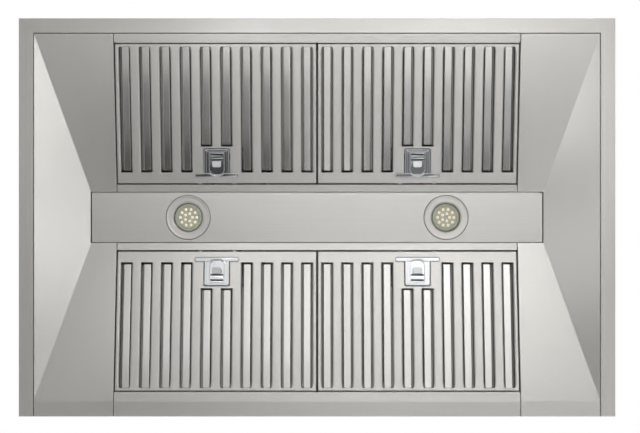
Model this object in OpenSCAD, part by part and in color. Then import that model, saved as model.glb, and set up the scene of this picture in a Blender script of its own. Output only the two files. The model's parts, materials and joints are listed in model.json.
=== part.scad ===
// Wall mount range hood, 36 inches wide and 24 inches deep: a sheet canopy with a
// hipped underside, four tilting baffle filters, two lamps, a blower, a damper
// collar and a two-part chimney cover.
// X runs left to right seen from the front, Y runs towards the wall, Z runs up.
// The origin is the middle of the four wall fixing holes, on the wall plane.

/* [Canopy] */
// Width of the hood
hood_w = 914; // [880:1:960]
// Depth of the hood, front to wall
hood_d = 610; // [590:1:640]
// Height of the upright band round the lower edge
band_h = 76; // [70:1:100]
// Height from the rim to the deck under the chimney
canopy_h = 380; // [370:1:450]
// Width of the deck under the chimney
deck_w = 344; // [340:1:380]
// Depth of the deck under the chimney
deck_d = 290; // [286:1:320]
// Thickness of the stainless sheet
sheet = 1.2; // [0.9:0.1:1.5]
// Width of the flat rim turned in under the canopy
rim_w = 22.3; // [20:0.1:28]
// Height of the hem turned up along the inner edge of the rim
hem_h = 12; // [8:1:15]

/* [Wall fixing] */
// Height of the middle of the wall fixing holes above the rim
fixing_h = 250; // [220:1:280]
// Spacing of the wall fixing holes from left to right
fixing_w = 300; // [260:1:320]
// Spacing of the wall fixing holes up and down
fixing_rise = 80; // [60:1:100]
// Diameter of the wall fixing holes
fixing_hole_d = 8; // [6:0.5:10]

/* [Underside] */
// Rise of the underside from the rim to the light panel
liner_rise = 32; // [26:1:40]
// Width of the light panel
light_panel_w = 704; // [690:1:720]
// Depth of the light panel
light_panel_d = 78; // [74:1:84]
// Width of the filter field between the side liners
field_w = 624; // [612:1:640]
// Width of the ledge that the outer edge of a filter rests on
ledge_w = 14.7; // [13:0.1:18]
// Width of the rail that the latches reach over
latch_rail_w = 12; // [10:0.5:14]
// Open seam between neighbouring sheets
seam = 0.9; // [0.5:0.1:1.2]
// Open line round the light panel
panel_gap = 1.3; // [0.9:0.1:1.6]
// Height of the lips turned up along the liner edges
lip_h = 12; // [9:1:14]

/* [Filters] */
// Gap between a filter and its neighbours
filter_gap = 1.4; // [1.2:0.1:1.8]
// Thickness of a filter
filter_t = 13; // [12:0.5:15]
// Thickness of the filter sheet
filter_sheet = 1; // [0.8:0.1:1.2]
// Part of a filter that lies on the ledge
filter_tail = 8; // [6:0.5:9]
// Play between a filter and the ledge under it
filter_clear = 0.2; // [0.1:0.05:0.4]
// Number of slots in a filter face
slot_count = 10; // [8:2:12]
// Width of a slot
slot_w = 17; // [15:0.5:19]
// Strip between the filter side and the first slot
slot_side = 6.4; // [4:0.1:9]
// Distance from the ledge to the slots
slot_start = 6; // [4:0.5:10]
// Distance from the slots to the latch edge of the filter
slot_margin = 19; // [16:0.5:24]
// Height of the lips turned up along the slots
slot_lip_h = 4.6; // [3:0.1:5]
// Thickness of the slot lips and the baffles
baffle_t = 0.8; // [0.6:0.1:1]
// Width of a rear baffle
baffle_w = 11.5; // [9:0.5:14]
// Height of the lips turned down along a rear baffle
baffle_lip_h = 4; // [2:0.5:5]

/* [Latches] */
// Width of the latch crossbar
latch_bar_w = 70; // [60:1:80]
// Length of the latch crossbar along the filter
latch_bar_l = 8.4; // [7:0.1:11]
// Width of the latch case
latch_case_w = 39; // [36:0.5:42]
// Length of the whole latch case
latch_case_l = 45; // [42:0.5:50]
// Distance from the latch to the edge of the filter
latch_setback = 9; // [8:0.5:12]
// Thickness of the latch case
latch_case_t = 1.4; // [1:0.1:2]
// Width of the window in the latch case
latch_window_w = 23; // [20:0.5:26]
// Spacing of the two latch prongs
prong_spacing = 53; // [50:0.5:58]
// Width of a latch prong
prong_w = 6.5; // [5:0.1:8]
// Travel of the latch, from drawn back to shut
latch_travel = 4.5; // [4:0.1:5.5]
// Height of the play above and below the latch slider
latch_clear = 0.3; // [0.2:0.05:0.5]
// Thickness of the latch slider
slider_t = 1; // [0.8:0.1:1.2]

/* [Lamps] */
// Distance of each lamp from the middle of the light panel
lamp_x = 201; // [190:1:210]
// Outer diameter of the lamp ring
lamp_ring_d = 70; // [66:0.5:72]
// Diameter of the opening in the lamp ring
lamp_opening_d = 45.5; // [44:0.5:48]
// Diameter of the neck that passes the light panel
lamp_neck_d = 57; // [56:0.5:60]
// Diameter of the LED face
led_face_d = 35; // [32:0.5:38]
// Depth of the LED face above the light panel
led_recess = 5; // [4:0.5:7]
// Number of LEDs in the outer circle
led_outer_count = 10; // [8:1:12]
// Number of LEDs in the inner circle
led_inner_count = 5; // [4:1:6]
// Height of the lamp body above the light panel
lamp_body_h = 46; // [40:1:60]

/* [Controls] */
// Diameter of a push button
button_d = 14; // [12:0.5:16]
// Spacing of the push buttons
button_pitch = 34; // [30:1:40]
// Height of the push buttons above the rim
button_h = 44; // [42:1:50]
// Travel of a push button
button_travel = 2; // [1:0.1:2.5]
// Height of a push button in front of the band
button_proud = 3.6; // [3:0.1:5]
// Thickness of the control panel
control_panel_t = 1; // [0.8:0.1:1.5]
// Height of the control box
control_box_h = 34; // [30:1:36]
// Depth of the control box
control_box_d = 34; // [28:1:40]

/* [Blower] */
// Diameter of the impeller
impeller_d = 180; // [170:1:184]
// Length of the impeller
impeller_l = 140; // [130:1:144]
// Number of impeller blades
blade_count = 36; // [30:1:40]
// Diameter of the impeller shaft
shaft_d = 8; // [6:0.5:10]
// Smallest radius of the scroll
scroll_r_min = 103; // [100:1:105]
// Largest radius of the scroll
scroll_r_max = 137; // [134:1:140]
// Width of the scroll
scroll_w = 170; // [164:1:176]
// Depth of the blower outlet
outlet_d = 110; // [104:1:116]
// Distance from the deck down to the impeller shaft
blower_drop = 125; // [122:1:135]
// Diameter of the blower inlets
inlet_d = 132; // [124:1:136]
// Diameter of the motor
motor_d = 96; // [84:1:104]

/* [Duct] */
// Outer diameter of the duct collar
collar_d = 202; // [200:0.5:204]
// Height of the duct collar above its flange
collar_h = 54; // [45:1:70]
// Wall thickness of the duct collar
collar_wall = 1; // [0.8:0.1:1.5]
// Width of the collar flange
collar_flange = 21; // [20:0.5:22]
// Height of the damper pin above the collar flange
damper_h = 18; // [14:1:24]
// Diameter of the damper pin
damper_pin_d = 4; // [3:0.5:5]

/* [Chimney] */
// Width of the lower chimney cover
chimney_w = 330; // [326:1:334]
// Depth of the lower chimney cover
chimney_d = 284; // [280:1:288]
// Height of the lower chimney cover
lower_chimney_h = 400; // [350:1:450]
// Height of the upper chimney cover
upper_chimney_h = 420; // [380:1:480]
// Length of the upper cover inside the lower one when drawn out
chimney_overlap = 100; // [80:1:120]
// Play between the two chimney covers
chimney_clear = 0.8; // [0.5:0.1:1.2]
// Width of the flanges turned in along the wall
chimney_flange = 15; // [12:1:20]

/* [Wiring] */
// Width of the junction box
junction_w = 50; // [44:1:50]
// Depth of the junction box
junction_d = 66; // [56:1:68]
// Height of the junction box
junction_h = 42; // [36:1:50]
// Bore of the cable gland
gland_bore_d = 11; // [8:0.5:12]

/* [Hidden] */
CORNERS = ["front_left", "front_right", "rear_left", "rear_right"];
SIDES = ["left", "right"];
BUTTONS = ["power", "light", "low_speed", "medium_speed", "high_speed"];
$fn = 48;

// Canopy, measured from the rim plane and the middle of the hood
half_w = hood_w / 2;
half_d = hood_d / 2;
rim_x = half_w - rim_w;
rim_y = half_d - rim_w;
side_slope = (canopy_h - band_h) / (half_w - deck_w / 2);
front_slope = (canopy_h - band_h) / (hood_d - deck_d);
deck_front = half_d - deck_d;
deck_top = canopy_h + sheet;

// Underside
hip_x = light_panel_w / 2;
hip_y = light_panel_d / 2;
liner_slope_x = liner_rise / (rim_x - hip_x);
liner_slope_y = liner_rise / (rim_y - hip_y);
filter_a = atan(liner_slope_y);
field_x = field_w / 2;
web_top = liner_rise + lip_h + 2;
rail_in = hip_y + panel_gap / 2;
rail_out = hip_y + latch_rail_w;
panel_edge_x = hip_x - panel_gap / 2;
panel_edge_y = hip_y - panel_gap / 2;

// Filters, in a frame at the hinge line: x along it, y towards the latch, z up
hinge_y = rim_y - ledge_w;
hinge_z = ledge_w * liner_slope_y + sheet / cos(filter_a);
filter_x = field_w / 4;
filter_w = field_x - filter_gap;
filter_reach = (hinge_y - rail_out - filter_gap) / cos(filter_a);
face_top = filter_clear + filter_sheet;
filter_top = filter_clear + filter_t;
slot_pitch = (filter_w - 2 * slot_side - slot_w) / (slot_count - 1);
baffle_top = filter_top - 2;
baffle_play = 0.4;
rear_slot_start = 8;
rear_slot_margin = 12;

// Latches
latch_near = filter_reach - latch_setback;
latch_far = latch_near - latch_case_l;
latch_rib_w = 2.5;
latch_rib_h = 1.4;
latch_rib_back = 3;
slider_z = max(sheet, face_top) + latch_clear;
prong_tip = filter_reach + filter_gap - 0.5;
window_near = latch_near - latch_bar_l - 1.5;
window_far = latch_far + 5;
slider_half = latch_window_w / 2 + 3;
slider_far = window_far - 2.5;
slider_near = latch_near + 1;
slider_arm_l = 6;
slider_slot_w = 20;
slider_slot_l = 2.5;
slider_slot_pitch = 7;
tab_near = window_near - latch_travel - 2;
tab_l = 9;
tab_w = 16;
tab_t = 1;
tab_web_t = 1.5;
tab_drop = 2;

// Lamps
led_d = 4.6;
led_outer_r = 12.7;
led_inner_r = 6.2;
led_turn = 18;
lamp_ring_t = 1.8;
lamp_floor = led_recess + 3;
lamp_hole_d = lamp_neck_d + 0.8;
fin_count = 5;

// Controls
button_count = len(BUTTONS);
button_lip = 2;
button_lip_t = 1.2;
button_play = 0.4;
plunger_end = -(sheet + 9);
switch_face = plunger_end - button_travel - 0.4;
switch_t = 4;
board_t = 1.6;
board_face = switch_face - switch_t;
control_margin = 12;
control_w = button_pitch * (button_count - 1) + button_d + 2 * control_margin;
control_wall = 1;

// Blower and duct
duct_y = half_d - deck_d / 2;
blower_y = duct_y + outlet_d / 2 - scroll_r_max;
blower_z = canopy_h - blower_drop;
tongue_a = acos((scroll_r_max - outlet_d) / scroll_r_min);
scroll_steps = 40;
scroll_wall = 1;
outlet_flange = 16;
flange_t = 1.2;
blade_w = 18;
blade_t = 0.8;
blade_turn = 35;
blade_inset = 10;
impeller_ring_w = 6;
impeller_ring_t = 3;
impeller_disc_t = 2;
hub_d = 24;
hub_l = 24;
motor_gap = 6;
motor_nose_l = 6;
motor_foot_l = 4;
shaft_tail = 22;
ring_flange_t = 1.2;
ring_flange_w = 13;
bracket_t = 1.6;
bracket_arm_w = 14;
bracket_foot_l = 6;
bracket_foot_in = inlet_d / 2 + ring_flange_w + 1;
bracket_reach = bracket_foot_in + bracket_foot_l;
screw_d = 4.8;
screw_x = scroll_w / 2 + 8;
screw_y = outlet_d / 2 + 8;
collar_base = deck_top + flange_t;
damper_z = collar_base + damper_h;
knuckle_count = 5;
knuckle_d = 8;
knuckle_play = 0.8;
flap_t = 0.8;
flap_gap = 1;
stop_w = 12;
stop_reach = 8;
stop_h = 2;

// Chimney and wiring
inner_chimney_x = chimney_w / 2 - sheet - chimney_clear;
inner_chimney_front = half_d - chimney_d + sheet + chimney_clear;
chimney_top = deck_top + lower_chimney_h - chimney_overlap + upper_chimney_h;
bracket_sheet = 1.5;
bracket_h = 25;
bracket_drop = 20;
bracket_hole_x = 100;
bracket_hole_d = 5.5;
bracket_inset = 6;
bracket_ear_l = 20;
bracket_ear_gap = 4;
bracket_play = 0.3;
junction_gap = 1.8;
junction_back_gap = 15;
junction_x = -(inner_chimney_x - sheet - junction_gap - junction_w / 2);
junction_y = half_d - junction_back_gap - junction_d / 2;
junction_wall = 1;
gland_h = 24;
gland_sink = 6;
gland_nut_h = 5;
wire_hole_d = 14;
wire_r = 3;
lead_rise = 28;
lamp_lead_x = 30;

// Places what is drawn from the rim plane and the middle of the hood
module from_rim() translate([0, -half_d, -fixing_h]) children();

// Box from its two corners
module block(x0, x1, y0, y1, z0, z1) translate([x0, y0, z0]) cube([x1 - x0, y1 - y0, z1 - z0]);

// Outline in Y and Z, pushed along X
module along_x(points, x0, x1) translate([x0, 0, 0]) rotate([90, 0, 90])
    linear_extrude(x1 - x0) polygon(points);

// Outline in X and Z, pushed along Y
module along_y(points, y0, y1) translate([0, y1, 0]) rotate([90, 0, 0])
    linear_extrude(y1 - y0) polygon(points);

// Flat rectangle from its corners
module flat(x0, x1, y0, y1) translate([x0, y0]) square([x1 - x0, y1 - y0]);

// Vertical drop of the inside face of a sheet that climbs at a slope
function drop(slope) = sheet * sqrt(1 + slope * slope);

// Canopy outlines, seen from the front and from the side
function front_outline(foot = 0) = [
    [-half_w, foot], [-half_w, band_h], [-deck_w / 2, canopy_h],
    [deck_w / 2, canopy_h], [half_w, band_h], [half_w, foot]
];
function side_outline() = [
    [-half_d, 0], [-half_d, band_h], [deck_front, canopy_h], [half_d, canopy_h], [half_d, 0]
];

// Hollow inside the side sheets
module hollow_across() {
    x_in = half_w - sheet;
    knee = band_h + sheet * side_slope - drop(side_slope);
    x_top = half_w - (canopy_h + 1 - band_h + drop(side_slope)) / side_slope;
    along_y([[-x_in, -1], [-x_in, knee], [-x_top, canopy_h + 1],
        [x_top, canopy_h + 1], [x_in, knee], [x_in, -1]], -half_d - 1, half_d + 1);
}

// Hollow inside the front sheet
module hollow_behind() {
    y_in = -half_d + sheet;
    knee = band_h + sheet * front_slope - drop(front_slope);
    y_top = -half_d + (canopy_h + 1 - band_h + drop(front_slope)) / front_slope;
    along_x([[y_in, -1], [y_in, knee], [y_top, canopy_h + 1],
        [half_d + 1, canopy_h + 1], [half_d + 1, -1]], -half_w - 1, half_w + 1);
}

// Places something at each button, pointing out of the band
module at_button(i) translate([(i - (button_count - 1) / 2) * button_pitch, -half_d, button_h])
    rotate([90, 0, 0]) children();

module canopy_front() color([0.78, 0.78, 0.77]) from_rim() {
    difference() {
        intersection() {
            along_x(side_outline(), -half_w, half_w);
            along_y(front_outline(), -half_d, half_d);
        }
        hollow_behind();
        for (i = [0 : button_count - 1])
            at_button(i) translate([0, 0, -sheet - 1])
                cylinder(d = button_d + 2 * button_play, h = sheet + 2);
    }
    linear_extrude(sheet)
        polygon([[-half_w, -half_d], [half_w, -half_d], [rim_x, -rim_y], [-rim_x, -rim_y]]);
    block(-rim_x, rim_x, -rim_y - sheet, -rim_y, 0, hem_h);
}

module canopy_side() intersection() {
    hollow_behind();
    union() {
        difference() {
            intersection() {
                along_y(front_outline(), -half_d, half_d - sheet);
                block(-half_w, 0, -half_d, half_d - sheet, 0, canopy_h);
            }
            hollow_across();
        }
        linear_extrude(sheet)
            polygon([[-half_w, -half_d], [-rim_x, -rim_y], [-rim_x, half_d], [-half_w, half_d]]);
        block(-rim_x - sheet, -rim_x, -rim_y, half_d - sheet, 0, hem_h);
    }
}

module canopy_left_side() color([0.72, 0.72, 0.71]) from_rim() canopy_side();

module canopy_right_side() color([0.72, 0.72, 0.71]) from_rim() mirror([1, 0, 0]) canopy_side();

// The four screws that hold the collar and the blower to the deck
module at_screws() for (x = [-screw_x, screw_x], y = [-screw_y, screw_y])
    translate([x, duct_y + y, 0]) children();

module canopy_deck() color([0.7, 0.7, 0.69]) from_rim() difference() {
    block(-deck_w / 2, deck_w / 2, deck_front, half_d, canopy_h, deck_top);
    translate([0, duct_y, canopy_h - 1]) cylinder(d = collar_d - 2 * collar_wall, h = sheet + 2, $fn = 96);
    at_screws() translate([0, 0, canopy_h - 1]) cylinder(d = screw_d + 0.4, h = sheet + 2);
    translate([junction_x, junction_y, canopy_h - 1]) cylinder(d = wire_hole_d, h = sheet + 2);
}

module back_plate() color([0.66, 0.66, 0.66]) from_rim() difference() {
    along_y(front_outline(sheet), half_d - sheet, half_d);
    for (x = [-fixing_w / 2, fixing_w / 2], z = [-fixing_rise / 2, fixing_rise / 2])
        translate([x, half_d - sheet - 1, fixing_h + z]) rotate([-90, 0, 0])
            cylinder(d = fixing_hole_d, h = sheet + 2);
}

// Everything under the hipped underside, lifted square to its slopes by up
module under_roof(up) {
    spread = 20;
    foot = -40;
    up_x = up * sqrt(1 + liner_slope_x * liner_slope_x);
    up_y = up * sqrt(1 + liner_slope_y * liner_slope_y);
    x0 = rim_x + spread;
    y0 = rim_y + spread;
    x_low = up_x - spread * liner_slope_x;
    y_low = up_y - spread * liner_slope_y;
    intersection() {
        along_y([[-x0, foot], [-x0, x_low], [-hip_x, liner_rise + up_x],
            [hip_x, liner_rise + up_x], [x0, x_low], [x0, foot]], -y0, y0);
        along_x([[-y0, foot], [-y0, y_low], [-hip_y, liner_rise + up_y],
            [hip_y, liner_rise + up_y], [y0, y_low], [y0, foot]], -x0, x0);
    }
}

// One thickness of the folded underside
module liner_skin(low) difference() {
    under_roof(low + sheet);
    under_roof(low);
}

// Left liner: the side slope, its front and rear fillers, lips and rear flange
module side_liner() {
    x_out = -rim_x + seam;
    x_in = -field_x - seam / 2;
    y_out = rim_y - seam;
    end_x = -hip_x - panel_gap / 2;
    difference() {
        union() {
            intersection() {
                liner_skin(0);
                block(x_out, x_in, -y_out, rim_y, -1, liner_rise + 10);
            }
            difference() {
                union() {
                    block(x_out, x_out + sheet, -y_out, rim_y, -1, lip_h);
                    block(x_out, x_in, -y_out, -y_out + sheet, -1, lip_h);
                    along_x([[-y_out, -1], [-y_out, lip_h], [-hip_y, liner_rise + lip_h],
                        [hip_y, liner_rise + lip_h], [rim_y, lip_h], [rim_y, -1]], x_in - sheet, x_in);
                    block(end_x - sheet, x_in, -rail_in - sheet, rail_in + sheet,
                        liner_rise - 1, liner_rise + lip_h);
                }
                under_roof(0);
            }
        }
        block(end_x, x_in + 1, -rail_in, rail_in, -1, liner_rise + lip_h + 1);
    }
    block(x_out, x_in, rim_y, half_d, 0, sheet);
}

module left_side_liner() color([0.8, 0.8, 0.8]) from_rim() side_liner();

module right_side_liner() color([0.8, 0.8, 0.8]) from_rim() mirror([1, 0, 0]) side_liner();

module filter_ledge(x, y_out) {
    intersection() {
        liner_skin(0);
        block(-x, x, hinge_y, y_out, -1, liner_rise);
    }
}

module front_filter_rail() color([0.72, 0.72, 0.71]) from_rim() mirror([0, 1, 0]) {
    x = field_x - seam / 2;
    y_out = rim_y - seam;
    filter_ledge(x, y_out);
    difference() {
        block(-x, x, y_out - sheet, y_out, -1, lip_h);
        under_roof(0);
    }
}

module rear_filter_rail() color([0.72, 0.72, 0.71]) from_rim() {
    x = field_x - seam / 2;
    filter_ledge(x, rim_y);
    block(-x, x, rim_y, half_d, 0, sheet);
}

module latch_rail() {
    x = field_x - seam / 2;
    intersection() {
        liner_skin(sheet);
        block(-x, x, rail_in, rail_out, 0, web_top);
    }
    difference() {
        block(-x, x, rail_in, rail_in + sheet, liner_rise - 2, web_top);
        under_roof(sheet);
    }
}

module front_latch_rail() color([0.7, 0.7, 0.69]) from_rim() mirror([0, 1, 0]) latch_rail();

module rear_latch_rail() color([0.7, 0.7, 0.69]) from_rim() latch_rail();

// Pan with its lips turned up, hung from the tops of the latch rails
module light_panel() color([0.76, 0.76, 0.75]) from_rim() {
    shoulder = web_top + 0.3;
    difference() {
        block(-panel_edge_x, panel_edge_x, -panel_edge_y, panel_edge_y, liner_rise, shoulder + sheet);
        block(-panel_edge_x + sheet, panel_edge_x - sheet, -panel_edge_y + sheet, panel_edge_y - sheet,
            liner_rise + sheet, shoulder + sheet + 1);
        for (x = [-lamp_x, lamp_x])
            translate([x, 0, liner_rise - 1]) cylinder(d = lamp_hole_d, h = sheet + 2);
    }
    for (side = [0, 1]) mirror([0, side, 0])
        block(-panel_edge_x, panel_edge_x, panel_edge_y, rail_in + 5, shoulder, shoulder + sheet);
}

// Lamps, measured from the lower face of the light panel
module at_lamp(side) from_rim() translate([side * lamp_x, 0, liner_rise]) children();

module lamp_ring(side) color([0.62, 0.62, 0.6]) at_lamp(side) rotate_extrude($fn = 72) {
    r_in = lamp_opening_d / 2;
    r_out = lamp_ring_d / 2;
    r_neck = lamp_neck_d / 2;
    polygon([[r_in, -lamp_ring_t], [r_out - lamp_ring_t, -lamp_ring_t], [r_out, 0], [r_neck, 0],
        [r_neck, lamp_floor], [r_in - 1, lamp_floor]]);
}

module lamp_leds(side) color([0.85, 0.84, 0.7]) at_lamp(side) {
    r_edge = lamp_opening_d / 2 - 2;
    translate([0, 0, led_recess]) cylinder(r = r_edge, h = lamp_floor - led_recess - 0.2);
    translate([0, 0, led_recess - 1.5]) difference() {
        cylinder(d = led_face_d + 2.4, h = 1.5);
        translate([0, 0, -1]) cylinder(d = led_face_d, h = 3);
    }
    for (i = [0 : led_outer_count - 1])
        rotate(i * 360 / led_outer_count) translate([led_outer_r, 0, led_recess])
            sphere(d = led_d, $fn = 24);
    for (i = [0 : led_inner_count - 1])
        rotate(led_turn + i * 360 / led_inner_count) translate([led_inner_r, 0, led_recess])
            sphere(d = led_d, $fn = 24);
}

module lamp_body(side) color([0.3, 0.3, 0.31]) at_lamp(side) rotate_extrude($fn = 72) {
    r = lamp_neck_d / 2 - 1;
    fin_pitch = (lamp_body_h - lamp_floor) / (2 * fin_count + 1);
    flat(0, r - 6, lamp_floor, lamp_body_h);
    for (i = [0 : fin_count])
        flat(r - 7, r, lamp_floor + 2 * i * fin_pitch, lamp_floor + (2 * i + 1) * fin_pitch);
}

// Filter corners: side is -1 for left and 1 for right, back is 0 for front and 1 for rear
module at_filter(side, back) from_rim() translate([side * filter_x, 0, 0]) mirror([0, back, 0])
    translate([0, -hinge_y, hinge_z]) rotate([filter_a, 0, 0]) children();

function slot_x(i) = (i - (slot_count - 1) / 2) * slot_pitch;
function slot_end(i) = abs(slot_x(i)) < latch_case_w / 2 + slot_w / 4
    ? latch_far - 4 : filter_reach - slot_margin;

module slots_2d(grow = 0) for (i = [0 : slot_count - 1])
    flat(slot_x(i) - slot_w / 2 - grow, slot_x(i) + slot_w / 2 + grow, slot_start, slot_end(i));

module filter_face(side, back) color([0.74, 0.74, 0.73]) at_filter(side, back) {
    x = filter_w / 2;
    difference() {
        translate([0, 0, filter_clear]) union() {
            linear_extrude(filter_sheet) difference() {
                flat(-x, x, -filter_tail, filter_reach);
                slots_2d();
                flat(-latch_window_w / 2, latch_window_w / 2, window_far, window_near);
            }
            linear_extrude(filter_t) difference() {
                flat(-x, x, -filter_tail, filter_reach);
                flat(-x + filter_sheet, x - filter_sheet,
                    -filter_tail + filter_sheet, filter_reach - filter_sheet);
            }
            linear_extrude(filter_sheet + slot_lip_h) difference() {
                slots_2d(baffle_t);
                slots_2d();
            }
        }
        for (s = [-1, 1])
            translate([s * prong_spacing / 2, filter_reach, slider_z + slider_t / 2])
                cube([prong_w + 1, 4 * filter_sheet, slider_t + 2 * latch_clear], center = true);
    }
}

module filter_baffles(side, back) color([0.6, 0.6, 0.6]) at_filter(side, back) {
    x = filter_w / 2 - filter_sheet - baffle_play;
    y0 = -filter_tail + filter_sheet + baffle_play;
    y1 = filter_reach - filter_sheet - baffle_play;
    half = baffle_w / 2;
    translate([0, 0, baffle_top - baffle_t]) linear_extrude(baffle_t) difference() {
        flat(-x, x, y0, y1);
        for (i = [0 : slot_count - 2])
            flat(slot_x(i) + half, slot_x(i + 1) - half, rear_slot_start, y1 - rear_slot_margin);
    }
    translate([0, 0, baffle_top - baffle_t - baffle_lip_h]) linear_extrude(baffle_lip_h + baffle_t)
        for (i = [0 : slot_count - 1], s = [-1, 1])
            translate([slot_x(i) + s * (half - baffle_t / 2), 0])
                flat(-baffle_t / 2, baffle_t / 2, rear_slot_start, y1 - rear_slot_margin);
}

module latch_case(side, back) color([0.82, 0.83, 0.84]) at_filter(side, back) {
    translate([0, 0, filter_clear - latch_case_t]) linear_extrude(latch_case_t) difference() {
        union() {
            flat(-latch_case_w / 2, latch_case_w / 2, latch_far, latch_near);
            flat(-latch_bar_w / 2, latch_bar_w / 2, latch_near - latch_bar_l, latch_near);
        }
        flat(-latch_window_w / 2, latch_window_w / 2, window_far, window_near);
    }
    for (s = [-1, 1])
        translate([s * (latch_window_w / 2 + latch_rib_w), 0, filter_clear - latch_case_t - latch_rib_h])
            linear_extrude(latch_rib_h)
                flat(-latch_rib_w / 2, latch_rib_w / 2, latch_far + latch_rib_back, latch_near - latch_bar_l);
}

module latch_slider(side, back) color([0.86, 0.87, 0.88]) at_filter(side, back) {
    arm_far = slider_near - slider_arm_l;
    arm_half = (prong_spacing + prong_w) / 2;
    tab_far = tab_near - tab_l;
    tab_z = filter_clear - latch_case_t - tab_drop;
    translate([0, 0, slider_z]) linear_extrude(slider_t) {
        difference() {
            flat(-slider_half, slider_half, slider_far, slider_near);
            for (i = [0, 1]) translate([0, window_far + 3 + i * slider_slot_pitch])
                flat(-slider_slot_w / 2, slider_slot_w / 2, 0, slider_slot_l);
        }
        flat(-arm_half, arm_half, arm_far, slider_near);
        for (s = [-1, 1])
            translate([s * prong_spacing / 2, 0]) flat(-prong_w / 2, prong_w / 2, arm_far, prong_tip);
    }
    block(-tab_w / 2, tab_w / 2, tab_far, tab_far + tab_web_t, tab_z, slider_z + slider_t);
    block(-tab_w / 2, tab_w / 2, tab_far, tab_near, tab_z, tab_z + tab_t);
}

// Controls
module control_panel() color([0.25, 0.25, 0.27]) from_rim() difference() {
    block(-control_w / 2, control_w / 2, -half_d - control_panel_t, -half_d,
        button_h - button_d / 2 - 6, button_h + button_d / 2 + 6);
    for (i = [0 : button_count - 1])
        at_button(i) translate([0, 0, -1]) cylinder(d = button_d + 2 * button_play, h = control_panel_t + 2);
}

module control_box() color([0.55, 0.55, 0.55]) from_rim() difference() {
    block(-control_w / 2, control_w / 2, -half_d + sheet, -half_d + control_box_d,
        button_h - control_box_h / 2, button_h + control_box_h / 2);
    block(-control_w / 2 + control_wall, control_w / 2 - control_wall,
        -half_d, -half_d + control_box_d - control_wall,
        button_h - control_box_h / 2 + control_wall, button_h + control_box_h / 2 - control_wall);
}

module control_board() color([0.1, 0.35, 0.2]) from_rim() {
    half = control_w / 2 - control_wall - 0.3;
    half_h = control_box_h / 2 - control_wall - 0.3;
    block(-half, half, -half_d - board_face, -half_d - board_face + board_t,
        button_h - half_h, button_h + half_h);
    for (i = [0 : button_count - 1])
        at_button(i) translate([-3, -3, board_face]) cube([6, 6, switch_t]);
}

module push_button(i) color([0.85, 0.85, 0.84]) from_rim() at_button(i) {
    lip_z = -sheet - 0.3 - button_lip_t;
    translate([0, 0, lip_z]) cylinder(d = button_d, h = button_proud - lip_z);
    translate([0, 0, lip_z]) cylinder(d = button_d + 2 * button_lip, h = button_lip_t);
    translate([0, 0, plunger_end]) cylinder(d = 5, h = lip_z - plunger_end + 1);
}

// Blower, in a frame on the impeller shaft: outlines in Y and Z, pushed along X
function scroll_r(a) = scroll_r_min + (scroll_r_max - scroll_r_min) * (a - tongue_a) / (360 - tongue_a);
function scroll_outline(inset, top) = concat(
    [for (i = [0 : scroll_steps]) let (a = tongue_a + i * (360 - tongue_a) / scroll_steps)
        (scroll_r(a) - inset) * [cos(a), sin(a)]],
    [[scroll_r_max - inset, top], [scroll_r_max - outlet_d + inset, top]]
);

module at_blower() from_rim() translate([0, blower_y, blower_z]) children();

// Round pieces on the shaft: their own Z becomes X
module on_shaft() at_blower() rotate([0, 90, 0]) children();

module blower_housing() color([0.62, 0.63, 0.64]) {
    half = scroll_w / 2;
    at_blower() difference() {
        along_x(scroll_outline(0, blower_drop), -half, half);
        along_x(scroll_outline(scroll_wall, blower_drop + 1), -half + scroll_wall, half - scroll_wall);
        translate([-half - 1, 0, 0]) rotate([0, 90, 0]) cylinder(d = inlet_d, h = scroll_w + 2, $fn = 96);
    }
    from_rim() difference() {
        block(-half - outlet_flange, half + outlet_flange, duct_y - outlet_d / 2 - outlet_flange,
            duct_y + outlet_d / 2 + outlet_flange, canopy_h - flange_t, canopy_h);
        block(-half + scroll_wall, half - scroll_wall, duct_y - outlet_d / 2 + scroll_wall,
            duct_y + outlet_d / 2 - scroll_wall, canopy_h - flange_t - 1, canopy_h + 1);
        at_screws() translate([0, 0, canopy_h - flange_t - 1]) cylinder(d = screw_d + 0.2, h = flange_t + 2);
    }
}

module inlet_ring() rotate_extrude($fn = 96) {
    r = inlet_d / 2 - 1;
    start = scroll_w / 2;
    r_flange = inlet_d / 2 + ring_flange_w;
    polygon([[r - 4, start - 9], [r - 2.8, start - 9], [r - 1.5, start - 4], [r, start],
        [r_flange, start], [r_flange, start + ring_flange_t], [r - 1.6, start + ring_flange_t],
        [r - 2.8, start - 3.6]]);
}

module inlet_rings() color([0.7, 0.7, 0.7]) on_shaft() {
    inlet_ring();
    mirror([0, 0, 1]) inlet_ring();
}

module impeller() color([0.55, 0.57, 0.6]) on_shaft() {
    r = impeller_d / 2;
    translate([0, 0, -impeller_l / 2]) linear_extrude(impeller_l)
        for (i = [0 : blade_count - 1])
            rotate(i * 360 / blade_count) translate([r - blade_inset, 0])
                rotate(blade_turn) square([blade_w, blade_t], center = true);
    for (z = [-impeller_l / 2, impeller_l / 2 - impeller_ring_t]) translate([0, 0, z])
        linear_extrude(impeller_ring_t) difference() {
            circle(r = r, $fn = 96);
            circle(r = r - impeller_ring_w, $fn = 96);
        }
    difference() {
        union() {
            translate([0, 0, -impeller_disc_t / 2]) cylinder(r = r - 2, h = impeller_disc_t, $fn = 96);
            translate([0, 0, -impeller_disc_t / 2]) cylinder(d = hub_d, h = hub_l);
        }
        translate([0, 0, -2]) cylinder(d = shaft_d + 0.1, h = hub_l + 4);
    }
}

module impeller_shaft() color([0.75, 0.75, 0.76]) on_shaft()
    translate([0, 0, -motor_gap - shaft_tail]) cylinder(d = shaft_d, h = motor_gap + shaft_tail + hub_l + 2);

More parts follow.
